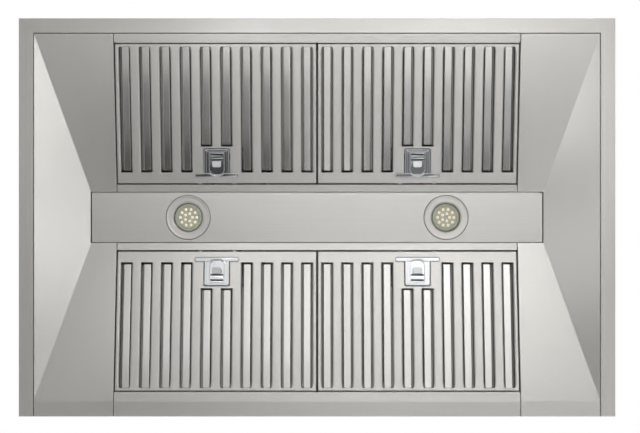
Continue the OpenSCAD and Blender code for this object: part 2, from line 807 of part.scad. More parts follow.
module motor() color([0.32, 0.33, 0.35]) on_shaft() {
    foot = -scroll_w / 2 - ring_flange_t - 0.2;
    nose = -motor_gap - motor_nose_l;
    bore = -motor_gap - shaft_tail - 2;
    difference() {
        union() {
            translate([0, 0, foot]) cylinder(d = motor_d * 0.5, h = motor_foot_l);
            translate([0, 0, foot + motor_foot_l]) cylinder(d = motor_d, h = nose - foot - motor_foot_l);
            translate([0, 0, nose]) cylinder(d = motor_d * 0.4, h = motor_nose_l);
        }
        translate([0, 0, bore]) cylinder(d = shaft_d + 0.2, h = 1 - bore);
    }
}

module motor_bracket() color([0.5, 0.5, 0.5]) on_shaft() mirror([0, 0, 1]) {
    z = scroll_w / 2 + ring_flange_t + 0.2;
    arm = bracket_arm_w / 2;
    translate([0, 0, z]) linear_extrude(bracket_t) {
        circle(d = motor_d * 0.6);
        for (i = [0 : 2]) rotate(30 + i * 120) flat(0, bracket_reach, -arm, arm);
    }
    for (i = [0 : 2]) rotate(30 + i * 120) translate([0, 0, scroll_w / 2])
        linear_extrude(z - scroll_w / 2 + 0.4) flat(bracket_foot_in, bracket_reach, -arm, arm);
}

module blower_screws() color([0.8, 0.8, 0.78]) from_rim() at_screws() {
    translate([0, 0, canopy_h - 8]) cylinder(d = screw_d, h = collar_base - canopy_h + 8.5);
    translate([0, 0, collar_base]) cylinder(d = screw_d * 1.9, h = 2.6);
}

// Duct collar with its two damper flaps on one pin
module duct_collar() color([0.68, 0.69, 0.7]) from_rim() translate([0, duct_y, 0]) {
    r = collar_d / 2;
    difference() {
        union() {
            translate([0, 0, deck_top]) cylinder(r = r + collar_flange, h = flange_t, $fn = 96);
            translate([0, 0, deck_top]) cylinder(r = r, h = flange_t + collar_h, $fn = 96);
        }
        translate([0, 0, deck_top - 1]) cylinder(r = r - collar_wall, h = collar_h + flange_t + 2, $fn = 96);
        translate([-r - 1, 0, damper_z]) rotate([0, 90, 0])
            cylinder(d = damper_pin_d + 0.1, h = collar_d + 2);
        for (x = [-screw_x, screw_x], y = [-screw_y, screw_y])
            translate([x, y, deck_top - 1]) cylinder(d = screw_d + 0.4, h = flange_t + 2);
    }
    for (s = [0, 1]) mirror([0, s, 0])
        translate([0, 0, damper_z - flap_t / 2 - 0.2])
            block(-stop_w / 2, stop_w / 2, r - stop_reach, r - collar_wall / 2, -stop_h, 0);
}

module damper_pin() color([0.75, 0.75, 0.76]) from_rim() translate([0, duct_y, damper_z]) rotate([0, 90, 0])
    cylinder(d = damper_pin_d, h = collar_d - 1, center = true);

// Knuckles first, first + 2 and so on belong to one flap, the others to its pair
module damper_flap(first) {
    r = collar_d / 2 - collar_wall - flap_gap;
    span = 2 * (r - 6);
    pitch = span / knuckle_count;
    difference() {
        union() {
            intersection() {
                translate([0, 0, -flap_t / 2]) cylinder(r = r, h = flap_t, $fn = 96);
                block(-r, r, -r, -knuckle_d / 2 - knuckle_play, -1, 1);
            }
            for (i = [first : 2 : knuckle_count - 1]) {
                x0 = -span / 2 + i * pitch + knuckle_play / 2;
                x1 = x0 + pitch - knuckle_play;
                translate([x0, 0, 0]) rotate([0, 90, 0]) cylinder(d = knuckle_d, h = x1 - x0);
                block(x0, x1, -knuckle_d / 2 - knuckle_play - 1, -2.6, -flap_t / 2, flap_t / 2);
            }
        }
        translate([-r - 1, 0, 0]) rotate([0, 90, 0]) cylinder(d = damper_pin_d + 0.2, h = 2 * r + 2);
    }
}

module at_damper() from_rim() translate([0, duct_y, damper_z]) children();

module front_damper_flap() color([0.6, 0.61, 0.62]) at_damper() damper_flap(0);

module rear_damper_flap() color([0.6, 0.61, 0.62]) at_damper() mirror([0, 1, 0]) damper_flap(1);

// Chimney covers: three walls with flanges turned in along the wall
module chimney_outline(x, front, back) difference() {
    flat(-x, x, front, back);
    flat(-x + sheet, x - sheet, front + sheet, back - sheet);
    flat(-x + chimney_flange, x - chimney_flange, front + 2 * sheet, back + 1);
}

module lower_chimney() color([0.76, 0.76, 0.75]) from_rim() translate([0, 0, deck_top])
    linear_extrude(lower_chimney_h) chimney_outline(chimney_w / 2, half_d - chimney_d, half_d);

module upper_chimney() color([0.78, 0.78, 0.77]) from_rim() translate([0, 0, chimney_top - upper_chimney_h])
    linear_extrude(upper_chimney_h)
        chimney_outline(inner_chimney_x, inner_chimney_front, half_d - sheet - chimney_clear);

// Bent strip on the wall whose ears stand just inside the upper cover
module chimney_bracket() color([0.6, 0.6, 0.6]) from_rim() difference() {
    x_strip = inner_chimney_x - chimney_flange - bracket_inset;
    x_ear = inner_chimney_x - sheet - bracket_play;
    y_ear = half_d - 2 * sheet - chimney_clear - bracket_ear_gap;
    translate([0, 0, chimney_top - bracket_drop - bracket_h]) linear_extrude(bracket_h) {
        flat(-x_strip, x_strip, half_d - bracket_sheet, half_d);
        for (s = [0, 1]) mirror([s, 0]) {
            flat(x_strip - bracket_sheet, x_strip, y_ear - bracket_sheet, half_d);
            flat(x_strip - bracket_sheet, x_ear, y_ear - bracket_sheet, y_ear);
            flat(x_ear - bracket_sheet, x_ear, y_ear - bracket_ear_l, y_ear);
        }
    }
    for (x = [-bracket_hole_x, bracket_hole_x])
        translate([x, half_d - bracket_sheet - 1, chimney_top - bracket_drop - bracket_h / 2])
            rotate([-90, 0, 0]) cylinder(d = bracket_hole_d, h = bracket_sheet + 2);
}

// Junction box on the deck, behind the collar
module at_junction() from_rim() translate([junction_x, junction_y, deck_top]) children();

module junction_box() color([0.6, 0.6, 0.6]) at_junction() difference() {
    block(-junction_w / 2, junction_w / 2, -junction_d / 2, junction_d / 2, 0, junction_h);
    block(-junction_w / 2 + junction_wall, junction_w / 2 - junction_wall,
        -junction_d / 2 + junction_wall, junction_d / 2 - junction_wall, junction_wall, junction_h + 1);
    translate([0, 0, -1]) cylinder(d = wire_hole_d, h = junction_wall + 2);
}

module junction_box_cover() color([0.65, 0.65, 0.65]) at_junction() difference() {
    block(-junction_w / 2, junction_w / 2, -junction_d / 2, junction_d / 2,
        junction_h, junction_h + junction_wall);
    translate([0, 0, junction_h - 1]) cylinder(d = gland_bore_d + 7, h = junction_wall + 2);
}

module cable_gland() color([0.15, 0.15, 0.15]) at_junction() difference() {
    union() {
        translate([0, 0, junction_h - gland_sink]) cylinder(d = gland_bore_d + 6.4, h = gland_h);
        translate([0, 0, junction_h + junction_wall])
            cylinder(d = gland_bore_d + 13, h = gland_nut_h, $fn = 6);
        translate([0, 0, junction_h + gland_nut_h + 4])
            cylinder(d = gland_bore_d + 11, h = gland_h - gland_sink - gland_nut_h - 5);
    }
    translate([0, 0, junction_h - gland_sink - 1]) cylinder(d = gland_bore_d, h = gland_h + 2);
}

// Wire along a list of points, with its legs run together at each bend
module wire(points) {
    last = len(points) - 2;
    for (i = [0 : last]) {
        leg = points[i + 1] - points[i];
        before = i == 0 ? 0 : wire_r / 2;
        after = i == last ? 0 : wire_r / 2;
        translate(points[i]) rotate([0, acos(leg[2] / norm(leg)), atan2(leg[1], leg[0])])
            translate([0, 0, -before]) cylinder(r = wire_r, h = norm(leg) + before + after, $fn = 8);
    }
}

// Main lead to the junction box, and a lead to the motor and each lamp
module inner_wiring() color([0.2, 0.2, 0.22]) from_rim() {
    box_top = button_h + control_box_h / 2;
    box_y = -half_d + control_box_d - 2 * wire_r;
    low = box_top + lead_rise;
    motor_x = -scroll_w / 2 - ring_flange_t - bracket_t - 1;
    wire([[0, box_y, box_top], [0, box_y, low], [junction_x, blower_y, low], [junction_x, blower_y, blower_z],
        [junction_x, junction_y, canopy_h - lead_rise], [junction_x, junction_y, deck_top + junction_h / 2]]);
    wire([[junction_x, blower_y, blower_z], [motor_x, blower_y, blower_z]]);
    for (s = [-1, 1])
        wire([[s * lamp_lead_x, box_y, box_top], [s * lamp_lead_x, box_y, low], [s * lamp_x, 0, low],
            [s * lamp_x, 0, liner_rise + lamp_body_h]]);
}

canopy_front();
canopy_left_side();
canopy_right_side();
canopy_deck();
back_plate();
left_side_liner();
right_side_liner();
front_filter_rail();
rear_filter_rail();
front_latch_rail();
rear_latch_rail();
light_panel();
for (i = [0, 1]) {
    lamp_ring(2 * i - 1);
    lamp_leds(2 * i - 1);
    lamp_body(2 * i - 1);
}
for (side = [0, 1], back = [0, 1]) {
    corner = CORNERS[2 * back + side];
    filter_face(2 * side - 1, back);
    filter_baffles(2 * side - 1, back);
    latch_case(2 * side - 1, back);
    latch_slider(2 * side - 1, back);
}
control_panel();
control_box();
control_board();
for (i = [0 : len(BUTTONS) - 1])
    push_button(i);
blower_housing();
inlet_rings();
impeller();
impeller_shaft();
motor();
motor_bracket();
blower_screws();
duct_collar();
front_damper_flap();
rear_damper_flap();
damper_pin();
lower_chimney();
upper_chimney();
chimney_bracket();
junction_box();
junction_box_cover();
cable_gland();
inner_wiring();
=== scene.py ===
"""Looks of a wall mount range hood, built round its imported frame.

Metres throughout, in the frame's own axes: +X right seen from the front, +Y into the wall and
+Z up. The origin is the middle of the four wall fixing holes.
"""
import json
import logging
import math
from dataclasses import dataclass
from enum import Enum
from typing import ClassVar

import bmesh
import bpy
from mathutils import Matrix, Vector


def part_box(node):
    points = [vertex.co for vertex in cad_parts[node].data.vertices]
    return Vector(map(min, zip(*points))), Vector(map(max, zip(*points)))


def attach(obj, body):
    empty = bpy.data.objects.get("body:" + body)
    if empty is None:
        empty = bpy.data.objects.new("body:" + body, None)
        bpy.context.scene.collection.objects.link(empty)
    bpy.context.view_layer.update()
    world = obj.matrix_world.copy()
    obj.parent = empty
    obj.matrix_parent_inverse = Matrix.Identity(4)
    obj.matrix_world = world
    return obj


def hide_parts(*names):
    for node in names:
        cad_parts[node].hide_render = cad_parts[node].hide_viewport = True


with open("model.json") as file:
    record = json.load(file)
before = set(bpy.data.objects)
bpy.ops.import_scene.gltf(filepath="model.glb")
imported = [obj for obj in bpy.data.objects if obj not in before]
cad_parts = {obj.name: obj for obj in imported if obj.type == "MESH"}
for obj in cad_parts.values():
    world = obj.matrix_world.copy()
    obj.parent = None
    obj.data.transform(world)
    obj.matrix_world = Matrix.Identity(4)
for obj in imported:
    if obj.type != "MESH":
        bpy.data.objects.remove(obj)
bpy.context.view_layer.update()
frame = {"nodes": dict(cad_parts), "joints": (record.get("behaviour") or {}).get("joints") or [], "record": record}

MM = 0.001
LOG = logging.getLogger("hood")
Colour = tuple[float, float, float]
Point2 = tuple[float, float]
Point3 = tuple[float, float, float]
Outline = list[tuple[Vector, Vector]]
Loop = list[bmesh.types.BMVert]


# Node trees

class Sock:
    """An output socket of a node, with Python's arithmetic on it."""

    def __init__(self, graph: "Graph", out: bpy.types.NodeSocket) -> None:
        """Wraps an output socket of the graph."""
        self.graph = graph
        self.out = out

    def __add__(self, other: "Sock | float") -> "Sock":
        """Sum."""
        return self.graph.math("ADD", self, other)

    def __sub__(self, other: "Sock | float") -> "Sock":
        """Difference."""
        return self.graph.math("SUBTRACT", self, other)

    def __rsub__(self, other: float) -> "Sock":
        """Difference, with the number first."""
        return self.graph.math("SUBTRACT", other, self)

    def __mul__(self, other: "Sock | float") -> "Sock":
        """Product."""
        return self.graph.math("MULTIPLY", self, other)

    def __truediv__(self, other: "Sock | float") -> "Sock":
        """Quotient."""
        return self.graph.math("DIVIDE", self, other)

    def __rtruediv__(self, other: float) -> "Sock":
        """Quotient, with the number first."""
        return self.graph.math("DIVIDE", other, self)

    def __abs__(self) -> "Sock":
        """Value without its sign."""
        return self.graph.math("ABSOLUTE", self)

    __radd__ = __add__
    __rmul__ = __mul__

    def clamp(self, low: float, high: float) -> "Sock":
        """Keeps the value from low to high."""
        return self.graph.math("MINIMUM", self.graph.math("MAXIMUM", self, low), high)


class Graph:
    """A node tree that is filled by one method."""

    def __init__(self, tree: bpy.types.NodeTree) -> None:
        """Takes an empty node tree."""
        self.tree = tree

    @classmethod
    def blank(cls, owner: bpy.types.Material | bpy.types.World) -> "Graph":
        """Starts the tree of a material or a world.

        Args:
            owner: The material or world.

        Returns:
            Its emptied tree.
        """
        owner.use_nodes = True
        owner.node_tree.nodes.clear()
        return cls(owner.node_tree)

    def node(self, kind: str, settings: dict | None = None, inputs: dict | None = None,
             output: int | str = 0) -> Sock:
        """Adds a node.

        Args:
            kind: The node's type.
            settings: What is set on the node before its sockets.
            inputs: Values or links of its sockets, by name or number.
            output: The output to hand back.

        Returns:
            The chosen output. A node without outputs hands back an empty one.
        """
        made = self.tree.nodes.new(kind)
        for key, value in (settings or {}).items():
            setattr(made, key, value)
        for key, value in (inputs or {}).items():
            if isinstance(value, Sock):
                self.tree.links.new(value.out, made.inputs[key])
            else:
                made.inputs[key].default_value = value
        return Sock(self, made.outputs[output] if made.outputs else None)

    def math(self, operation: str, first: Sock | float, second: Sock | float = 0.0) -> Sock:
        """Math node of one value or two."""
        return self.node("ShaderNodeMath", {"operation": operation}, {0: first, 1: second})

    def surface(self, shader: Sock, output: str = "ShaderNodeOutputMaterial") -> None:
        """Hands a shader to the output node."""
        self.node(output, None, {"Surface": shader})

    def scaled(self, scale: Point3 | float) -> Sock:
        """Object coordinates, scaled along each axis or alike along all three."""
        scales = {0: self.node("ShaderNodeTexCoord", output="Object"),
                  1: scale if isinstance(scale, tuple) else (scale,) * 3}
        return self.node("ShaderNodeVectorMath", {"operation": "MULTIPLY"}, scales)

    def noise(self, scale: Point3 | float, detail: float = 2.0, rough: float = 0.5) -> Sock:
        """Noise from 0 to 1, in waves a metre, with its finer octaves and their share."""
        return self.node("ShaderNodeTexNoise", None, {
            "Vector": self.scaled(scale), "Scale": 1.0, "Detail": detail, "Roughness": rough})

    def mix(self, factor: Sock, first: Colour, second: Colour) -> Sock:
        """Colour between two colours."""
        sides = {6: (*first, 1.0), 7: (*second, 1.0)}
        return self.node("ShaderNodeMix", {"data_type": "RGBA"}, {"Factor": factor, **sides}, 2)

    def bump(self, height: Sock, distance: float) -> Sock:
        """Normal of a surface with that height, in metres of distance."""
        return self.node("ShaderNodeBump", None,
                         {"Height": height, "Distance": distance, "Strength": 1.0})


# Finishes

class Grain(Enum):
    """How a sheet was brushed: the axes that its fine lines lie side by side along."""

    LEVEL_ACROSS = (0, 1, 0)
    LEVEL_DEEP = (1, 0, 0)
    STEEP_ACROSS = (0, 1, 1)
    STEEP_DEEP = (1, 0, 1)
    UPRIGHT = (1, 1, 0)

    def scale(self, across: float, along: float) -> Point3:
        """Waves a metre along X, Y and Z, from those across the lines and along them."""
        return tuple(across if axis else along for axis in self.value)


def tone(colour: Colour, factor: float) -> Colour:
    """Colour made lighter or darker by a factor."""
    return tuple(min(1.0, c * factor) for c in colour)


@dataclass(frozen=True)
class Finish:
    """Common to all finishes: a name and the shader that it fills."""

    name: str
    colour: Colour
    made: ClassVar[dict[str, bpy.types.Material]] = {}

    def sockets(self, graph: Graph) -> dict:
        """What the Principled shader takes."""
        raise NotImplementedError

    def shades(self, graph: Graph, factor: Sock, low: float, high: float) -> Sock:
        """The finish's colour, between two shades of it."""
        return graph.mix(factor, tone(self.colour, low), tone(self.colour, high))

    def material(self) -> bpy.types.Material:
        """Makes the material once.

        Returns:
            The finish as a material.
        """
        if self.name not in self.made:
            material = bpy.data.materials.new(self.name)
            graph = Graph.blank(material)
            graph.surface(graph.node("ShaderNodeBsdfPrincipled", None, self.sockets(graph)))
            self.made[self.name] = material
        return self.made[self.name]


@dataclass(frozen=True)
class BrushedSteel(Finish):
    """Stainless sheet with a long satin grain, given in waves a metre across it and along it."""

    grain: Grain = Grain.LEVEL_ACROSS
    roughness: float = 0.3
    lines: float = 1500.0
    streaks: float = 160.0
    contrast: float = 0.05
    depth: float = 0.005 * MM
    line_run: ClassVar[float] = 6.0
    streak_run: ClassVar[float] = 0.4
    clouds: ClassVar[float] = 5.0

    def sockets(self, graph: Graph) -> dict:
        """Feeds colour, roughness and normal from fine lines, wider streaks and faint clouds.

        Args:
            graph: The material's tree.

        Returns:
            What the Principled shader takes, by socket.
        """
        fine = graph.noise(self.grain.scale(self.lines, self.line_run))
        wide = graph.noise(self.grain.scale(self.streaks, self.streak_run))
        cloud = graph.noise(self.clouds, 1.0)
        shade = (fine - 0.5) * 0.9 + (wide - 0.5) * 0.6 + (cloud - 0.5) * 0.4
        share = (shade + 0.5).clamp(0.0, 1.0)
        return {
            "Base Color": self.shades(graph, share, 1 - self.contrast, 1 + self.contrast),
            "Metallic": 1.0,
            "Roughness": (shade * 0.05 + self.roughness).clamp(0.05, 0.9),
            "Normal": graph.bump(fine, self.depth),
        }


@dataclass(frozen=True)
class Galvanised(Finish):
    """Zinc coated sheet with its crystals."""

    def sockets(self, graph: Graph) -> dict:
        """Gives each crystal, about 12 mm across, one shade, with dirt over them.

        Args:
            graph: The material's tree.

        Returns:
            What the Principled shader takes, by socket.
        """
        cells = graph.node("ShaderNodeTexVoronoi", {"feature": "F1"}, {
            "Vector": graph.scaled(85.0), "Scale": 1.0, "Randomness": 1.0}, "Color")
        value = graph.node("ShaderNodeSeparateColor", None, {"Color": cells})
        dirt = graph.noise(22.0, 4.0, 0.6)
        return {
            "Base Color": self.shades(graph, value * 0.6 + dirt * 0.4, 0.72, 1.12),
            "Metallic": 1.0,
            "Roughness": value * 0.18 + dirt * 0.15 + 0.24,
            "Normal": graph.bump(dirt, 0.1 * MM),
        }


@dataclass(frozen=True)
class Turned(Finish):
    """Metal turned on a lathe, whose rings follow the mesh's own radius."""

    roughness: float = 0.25
    pitch: ClassVar[float] = 0.35 * MM

    def sockets(self, graph: Graph) -> dict:
        """Lays rings at the pitch of the tool, uneven in height.

        Args:
            graph: The material's tree.

        Returns:
            What the Principled shader takes, by socket.
        """
        radius = graph.node("ShaderNodeAttribute", {"attribute_name": "radius"}, None, "Fac")
        rings = graph.node("ShaderNodeTexNoise", {"noise_dimensions": "1D"}, {
            "W": radius / self.pitch, "Scale": 1.0, "Detail": 2.0})
        shade = (rings * 0.7 + graph.noise(60.0) * 0.3).clamp(0.0, 1.0)
        return {
            "Base Color": self.shades(graph, shade, 0.88, 1.1),
            "Metallic": 1.0,
            "Roughness": shade * 0.14 + self.roughness,
            "Normal": graph.bump(rings, 0.02 * MM),
        }


@dataclass(frozen=True)
class CastMetal(Finish):
    """Cast or painted metal with a fine orange peel."""

    metallic: float = 1.0
    roughness: float = 0.45
    grit: ClassVar[float] = 900.0

    def sockets(self, graph: Graph) -> dict:
        """Lays fine grit over soft patches.

        Args:
            graph: The material's tree.

        Returns:
            What the Principled shader takes, by socket.
        """
        grit = graph.noise(self.grit, 3.0)
        patch = graph.noise(18.0, 3.0)
        return {
            "Base Color": self.shades(graph, grit * 0.5 + patch * 0.5, 0.8, 1.15),
            "Metallic": self.metallic,
            "Roughness": patch * 0.2 + (self.roughness - 0.1),
            "Normal": graph.bump(grit, 0.08 * MM),
        }


@dataclass(frozen=True)
class Plastic(Finish):
    """Moulded plastic, glossy or dull."""

    roughness: float = 0.4
    grit: float = 1400.0
    coat: float = 0.0

    def sockets(self, graph: Graph) -> dict:
        """Gives a faint spark texture, with handling marks in the gloss.

        Args:
            graph: The material's tree.

        Returns:
            What the Principled shader takes, by socket.
        """
        spark = graph.noise(self.grit)
        marks = graph.noise(30.0, 4.0, 0.6)
        return {
            "Base Color": self.shades(graph, marks, 0.85, 1.2),
            "Roughness": marks * 0.16 + (self.roughness - 0.08),
            "Coat Weight": self.coat,
            "Normal": graph.bump(spark, 0.03 * MM),
        }


@dataclass(frozen=True)
class CircuitBoard(Finish):
    """Green solder mask over straight copper tracks."""

    def sockets(self, graph: Graph) -> dict:
        """Lays tracks in a square maze, under the mask.

        Args:
            graph: The material's tree.

        Returns:
            What the Principled shader takes, by socket.
        """
        tracks = graph.node("ShaderNodeTexBrick", {"offset": 0.35}, {
            "Vector": graph.scaled(160.0), "Scale": 1.0,
            "Color1": (1, 1, 1, 1), "Color2": (0.9, 0.9, 0.9, 1), "Mortar": (0, 0, 0, 1)}, "Fac")
        return {
            "Base Color": self.shades(graph, tracks, 0.8, 1.7),
            "Roughness": tracks * 0.1 + 0.3,
            "Normal": graph.bump(tracks, 0.04 * MM),
        }


@dataclass(frozen=True)
class LedBoard(Finish):
    """Pale cup behind the LEDs, with a greenish cast."""

    def sockets(self, graph: Graph) -> dict:
        """Mottles it like phosphor seen through a clear cover.

        Args:
            graph: The material's tree.

        Returns:
            What the Principled shader takes, by socket.
        """
        mottle = graph.noise(420.0, 3.0)
        return {
            "Base Color": self.shades(graph, mottle, 0.7, 1.2),
            "Roughness": mottle * 0.2 + 0.2,
            "Coat Weight": 0.6,
            "Normal": graph.bump(mottle, 0.1 * MM),
        }


@dataclass(frozen=True)
class LedLens(Finish):
    """Lit dome of one LED."""

    glow: float = 0.6

    def sockets(self, graph: Graph) -> dict:
        """Gives warm light, a little uneven.

        Args:
            graph: The material's tree.

        Returns:
            What the Principled shader takes, by socket.
        """
        grain = graph.noise(700.0)
        return {
            "Base Color": self.shades(graph, grain, 0.9, 1.0),
            "Emission Color": self.shades(graph, grain, 0.85, 1.0),
            "Emission Strength": self.glow,
            "Roughness": grain * 0.1 + 0.1,
            "Normal": graph.bump(grain, 0.03 * MM),
        }


class Finishes:
    """Every finish of the hood, by what it is used on."""

    steel = (0.76, 0.752, 0.735)
    canopy_front = BrushedSteel("canopy_front_sheet", steel, Grain.STEEP_ACROSS)
    canopy_side = BrushedSteel("canopy_side_sheet", steel, Grain.STEEP_DEEP)
    chimney = BrushedSteel("chimney_sheet", steel, Grain.UPRIGHT)
    side_liner = BrushedSteel("side_liner_sheet", steel, Grain.LEVEL_DEEP,
                              0.25, 1500.0, 60.0, 0.03, 0.002 * MM)
    liner = BrushedSteel("liner_sheet", steel, Grain.LEVEL_ACROSS,
                         0.32, 1500.0, 90.0, 0.05, 0.002 * MM)
    filter_face = BrushedSteel("filter_face_sheet", steel, Grain.LEVEL_DEEP,
                               0.3, 1500.0, 120.0, 0.04, 0.002 * MM)
    baffle = BrushedSteel("baffle_sheet", (0.73, 0.73, 0.72), Grain.LEVEL_DEEP,
                          0.12, 1200.0, 140.0, 0.08, 0.002 * MM)
    latch = BrushedSteel("latch_plate", (0.73, 0.755, 0.785), Grain.LEVEL_DEEP,
                         0.08, 1000.0, 120.0, 0.04, 0.002 * MM)
    galvanised = Galvanised("galvanised_sheet", (0.55, 0.56, 0.57))
    lamp_ring = Turned("lamp_trim_face", (0.76, 0.75, 0.73), 0.24)
    button = Turned("button_face", (0.72, 0.72, 0.71), 0.2)
    lamp_body = CastMetal("lamp_casting", (0.4, 0.4, 0.41))
    motor = CastMetal("motor_enamel", (0.06, 0.06, 0.065), 0.2, 0.4)
    control = Plastic("control_glass", (0.012, 0.012, 0.014), 0.14, 700.0, 0.5)
    gland = Plastic("gland_plastic", (0.02, 0.02, 0.02), 0.45)
    wire = Plastic("wire_sleeve", (0.03, 0.03, 0.032), 0.5)
    board = CircuitBoard("board_mask", (0.02, 0.12, 0.05))
    # Black rubber, whose rim round the lamp trims also stands in for the shade in the gap there.
    gasket = Plastic("gasket_rubber_and_gap_shade", (0.03, 0.028, 0.026), 0.7)
    led_board = LedBoard("led_board", (0.74, 0.71, 0.54))
    lens_rim = LedBoard("lens_rim", (0.72, 0.8, 0.68))
    led_lens = LedLens("led_lens", (0.92, 0.9, 0.78))


# Meshes

class Shop:
    """Turns meshes into finished pieces of the hood."""

    bodies = frame["record"]["behaviour"]["bodies"]
    body_of = {node: body for body, nodes in bodies.items() for node in nodes}
    slot_of = {part["node"]: part["material_slot"] for part in frame["record"]["subparts"]}

    @staticmethod
    def mesh_object(name: str, work: bmesh.types.BMesh) -> bpy.types.Object:
        """Puts the mesh that a bmesh holds into the scene, and frees the bmesh.

        Args:
            name: The object's name.
            work: The bmesh.

        Returns:
            The object.
        """
        mesh = bpy.data.meshes.new(name)
        work.to_mesh(mesh)
        work.free()
        made = bpy.data.objects.new(name, mesh)
        bpy.context.scene.collection.objects.link(made)
        return made

    @staticmethod
    def bake(piece: bpy.types.Object) -> None:
        """Turns a piece's modifiers into its mesh.

        Args:
            piece: The piece.
        """
        bpy.context.view_layer.update()
        graph = bpy.context.evaluated_depsgraph_get()
        mesh = bpy.data.meshes.new_from_object(
            piece.evaluated_get(graph), preserve_all_data_layers=True, depsgraph=graph)
        piece.modifiers.clear()
        piece.data = mesh
        mesh.name = piece.name

    @classmethod
    def smooth(cls, piece: bpy.types.Object, angle: float) -> None:
        """Shades a piece smooth, with its sharper edges left sharp.

        Args:
            piece: The piece.
            angle: Angle in degrees over which an edge stays sharp.
        """
        piece.data.shade_smooth()
        piece.data.set_sharp_from_angle(angle=math.radians(angle))
        weighted = piece.modifiers.new("weighted", "WEIGHTED_NORMAL")
        weighted.keep_sharp = True
        cls.bake(piece)

    @classmethod
    def thicken(cls, piece: bpy.types.Object, thickness: float) -> None:
        """Gives an open sheet its thickness.

        Args:
            piece: The sheet, whose faces keep their place.
            thickness: How far its back lies behind them.
        """
        solid = piece.modifiers.new("thickness", "SOLIDIFY")
        solid.thickness = thickness
        solid.offset = -1.0
        cls.bake(piece)

    @classmethod
    def place(cls, piece: bpy.types.Object, frame_of: Matrix, angle: float = 50.0) -> None:
        """Moves a piece's mesh to its place, with its faces outwards, and shades it.

        Args:
            piece: The piece.
            frame_of: From the piece's own axes to the row frame.
            angle: Angle in degrees over which an edge stays sharp.
        """
        piece.data.transform(frame_of)
        if frame_of.determinant() < 0:
            piece.data.flip_normals()
        cls.smooth(piece, angle)

    @classmethod
    def settle(cls, piece: bpy.types.Object, finish: Finish, node: str) -> None:
        """Gives a piece its finish and body, and hides the node that it stands for.

        Args:
            piece: The finished piece, in the row frame.
            finish: What its surface is made of.
            node: The node that it stands for, which gives its body.
        """
        piece.data.materials.clear()
        piece.data.materials.append(finish.material())
        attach(piece, cls.body_of[node])
        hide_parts(node)
        LOG.info("%s: %d faces, %s", piece.name, len(piece.data.polygons), finish.name)

    @staticmethod
    def dress(finish: Finish, *nodes: str) -> None:
        """Gives nodes that keep their own shapes a finish.

        Args:
            finish: What their surface is made of.
            nodes: The nodes.
        """
        for node in nodes:
            mesh = frame["nodes"][node].data
            mesh.materials.clear()
            mesh.materials.append(finish.material())
            LOG.info("%s: own shape, %s", node, finish.name)


@dataclass(frozen=True)
class Softener:
    """Rounds the edges of a node's shape: its folds, and the edges where it was cut.

    The three angles are in radians, and the angle over which shading stays sharp is in degrees.
    """

    fold: float
    sheet: float = 1.2 * MM
    segments: int = 3
    cut: ClassVar[float] = 0.22 * MM
    cut_share: ClassVar[float] = 0.3
    cut_angle: ClassVar[float] = 0.5
    fold_angle: ClassVar[float] = math.radians(6.5)
    curve_angle: ClassVar[float] = math.radians(16)
    curve_facet: ClassVar[float] = 30 * MM
    least_fold: ClassVar[float] = 0.3 * MM
    sharp: ClassVar[float] = 40.0

    def radius(self, edge: bmesh.types.BMEdge) -> float:
        """Chooses how far an edge is rounded, from the faces on either side of it.

        Args:
            edge: The edge.

        Returns:
            The radius, or 0 where the edge stays as it is, as between the facets of a curve.
        """
        if len(edge.link_faces) != 2 or edge.calc_face_angle() < self.fold_angle:
            return 0.0
        width = min(2 * f.calc_area() / max(f.calc_perimeter(), 1e-9) for f in edge.link_faces)
        if width < 2 * self.sheet:
            cut = min(self.cut, self.cut_share * width)
            return cut if edge.calc_face_angle() > self.cut_angle else 0.0
        if edge.calc_face_angle() < self.curve_angle and edge.calc_length() < self.curve_facet:
            return 0.0
        return self.fold if edge.is_convex else max(self.fold - self.sheet, self.least_fold)

    def make(self, finish: Finish, *nodes: str) -> None:
        """Builds the softened copy of each node and settles it.

        Args:
            finish: What its surface is made of.
            nodes: The nodes.
        """
        widest = max(self.fold, self.cut)
        for node in nodes:
            work = bmesh.new()
            work.from_mesh(frame["nodes"][node].data)
            bmesh.ops.remove_doubles(work, verts=work.verts, dist=0.002 * MM)
            bmesh.ops.dissolve_limit(work, angle_limit=math.radians(0.5), verts=work.verts,
                                     edges=work.edges)
            layer = work.edges.layers.float.new("bevel_weight_edge")
            for edge in work.edges:
                edge[layer] = self.radius(edge) / widest
            piece = Shop.mesh_object(f"{node}_shape", work)
            bevel = piece.modifiers.new("edges", "BEVEL")
            bevel.limit_method = "WEIGHT"
            bevel.width = widest
            bevel.segments = self.segments
            bevel.use_clamp_overlap = False
            piece.data.shade_smooth()
            Shop.bake(piece)
            Shop.smooth(piece, self.sharp)
            Shop.settle(piece, finish, node)


def quarter(steps: int) -> list[float]:
    """Angles over a quarter turn, in equal steps."""
    return [math.pi / 2 * step / steps for step in range(steps + 1)]


def eased(share: float) -> float:
    """Share kept from 0 to 1, and eased at both ends."""
    share = min(1.0, max(0.0, share))
    return share * share * (3 - 2 * share)


def points_from(across: float, up: float, *pairs: Point2) -> list[Point2]:
    """Points of a profile, each in millimetres across and up from one place."""
    return [(across + x * MM, up + y * MM) for x, y in pairs]


def corners_of(low: Point2, high: Point2) -> list[Point2]:
    """Corners of a rectangle, counter-clockwise from the lowest X and Y."""
    return [low, (high[0], low[1]), high, (low[0], high[1])]


def add_rectangle(work: bmesh.types.BMesh, low: Point2, high: Point2, height: float) -> None:
    """Adds one level face to a bmesh."""
    work.faces.new([work.verts.new((*corner, height)) for corner in corners_of(low, high)])


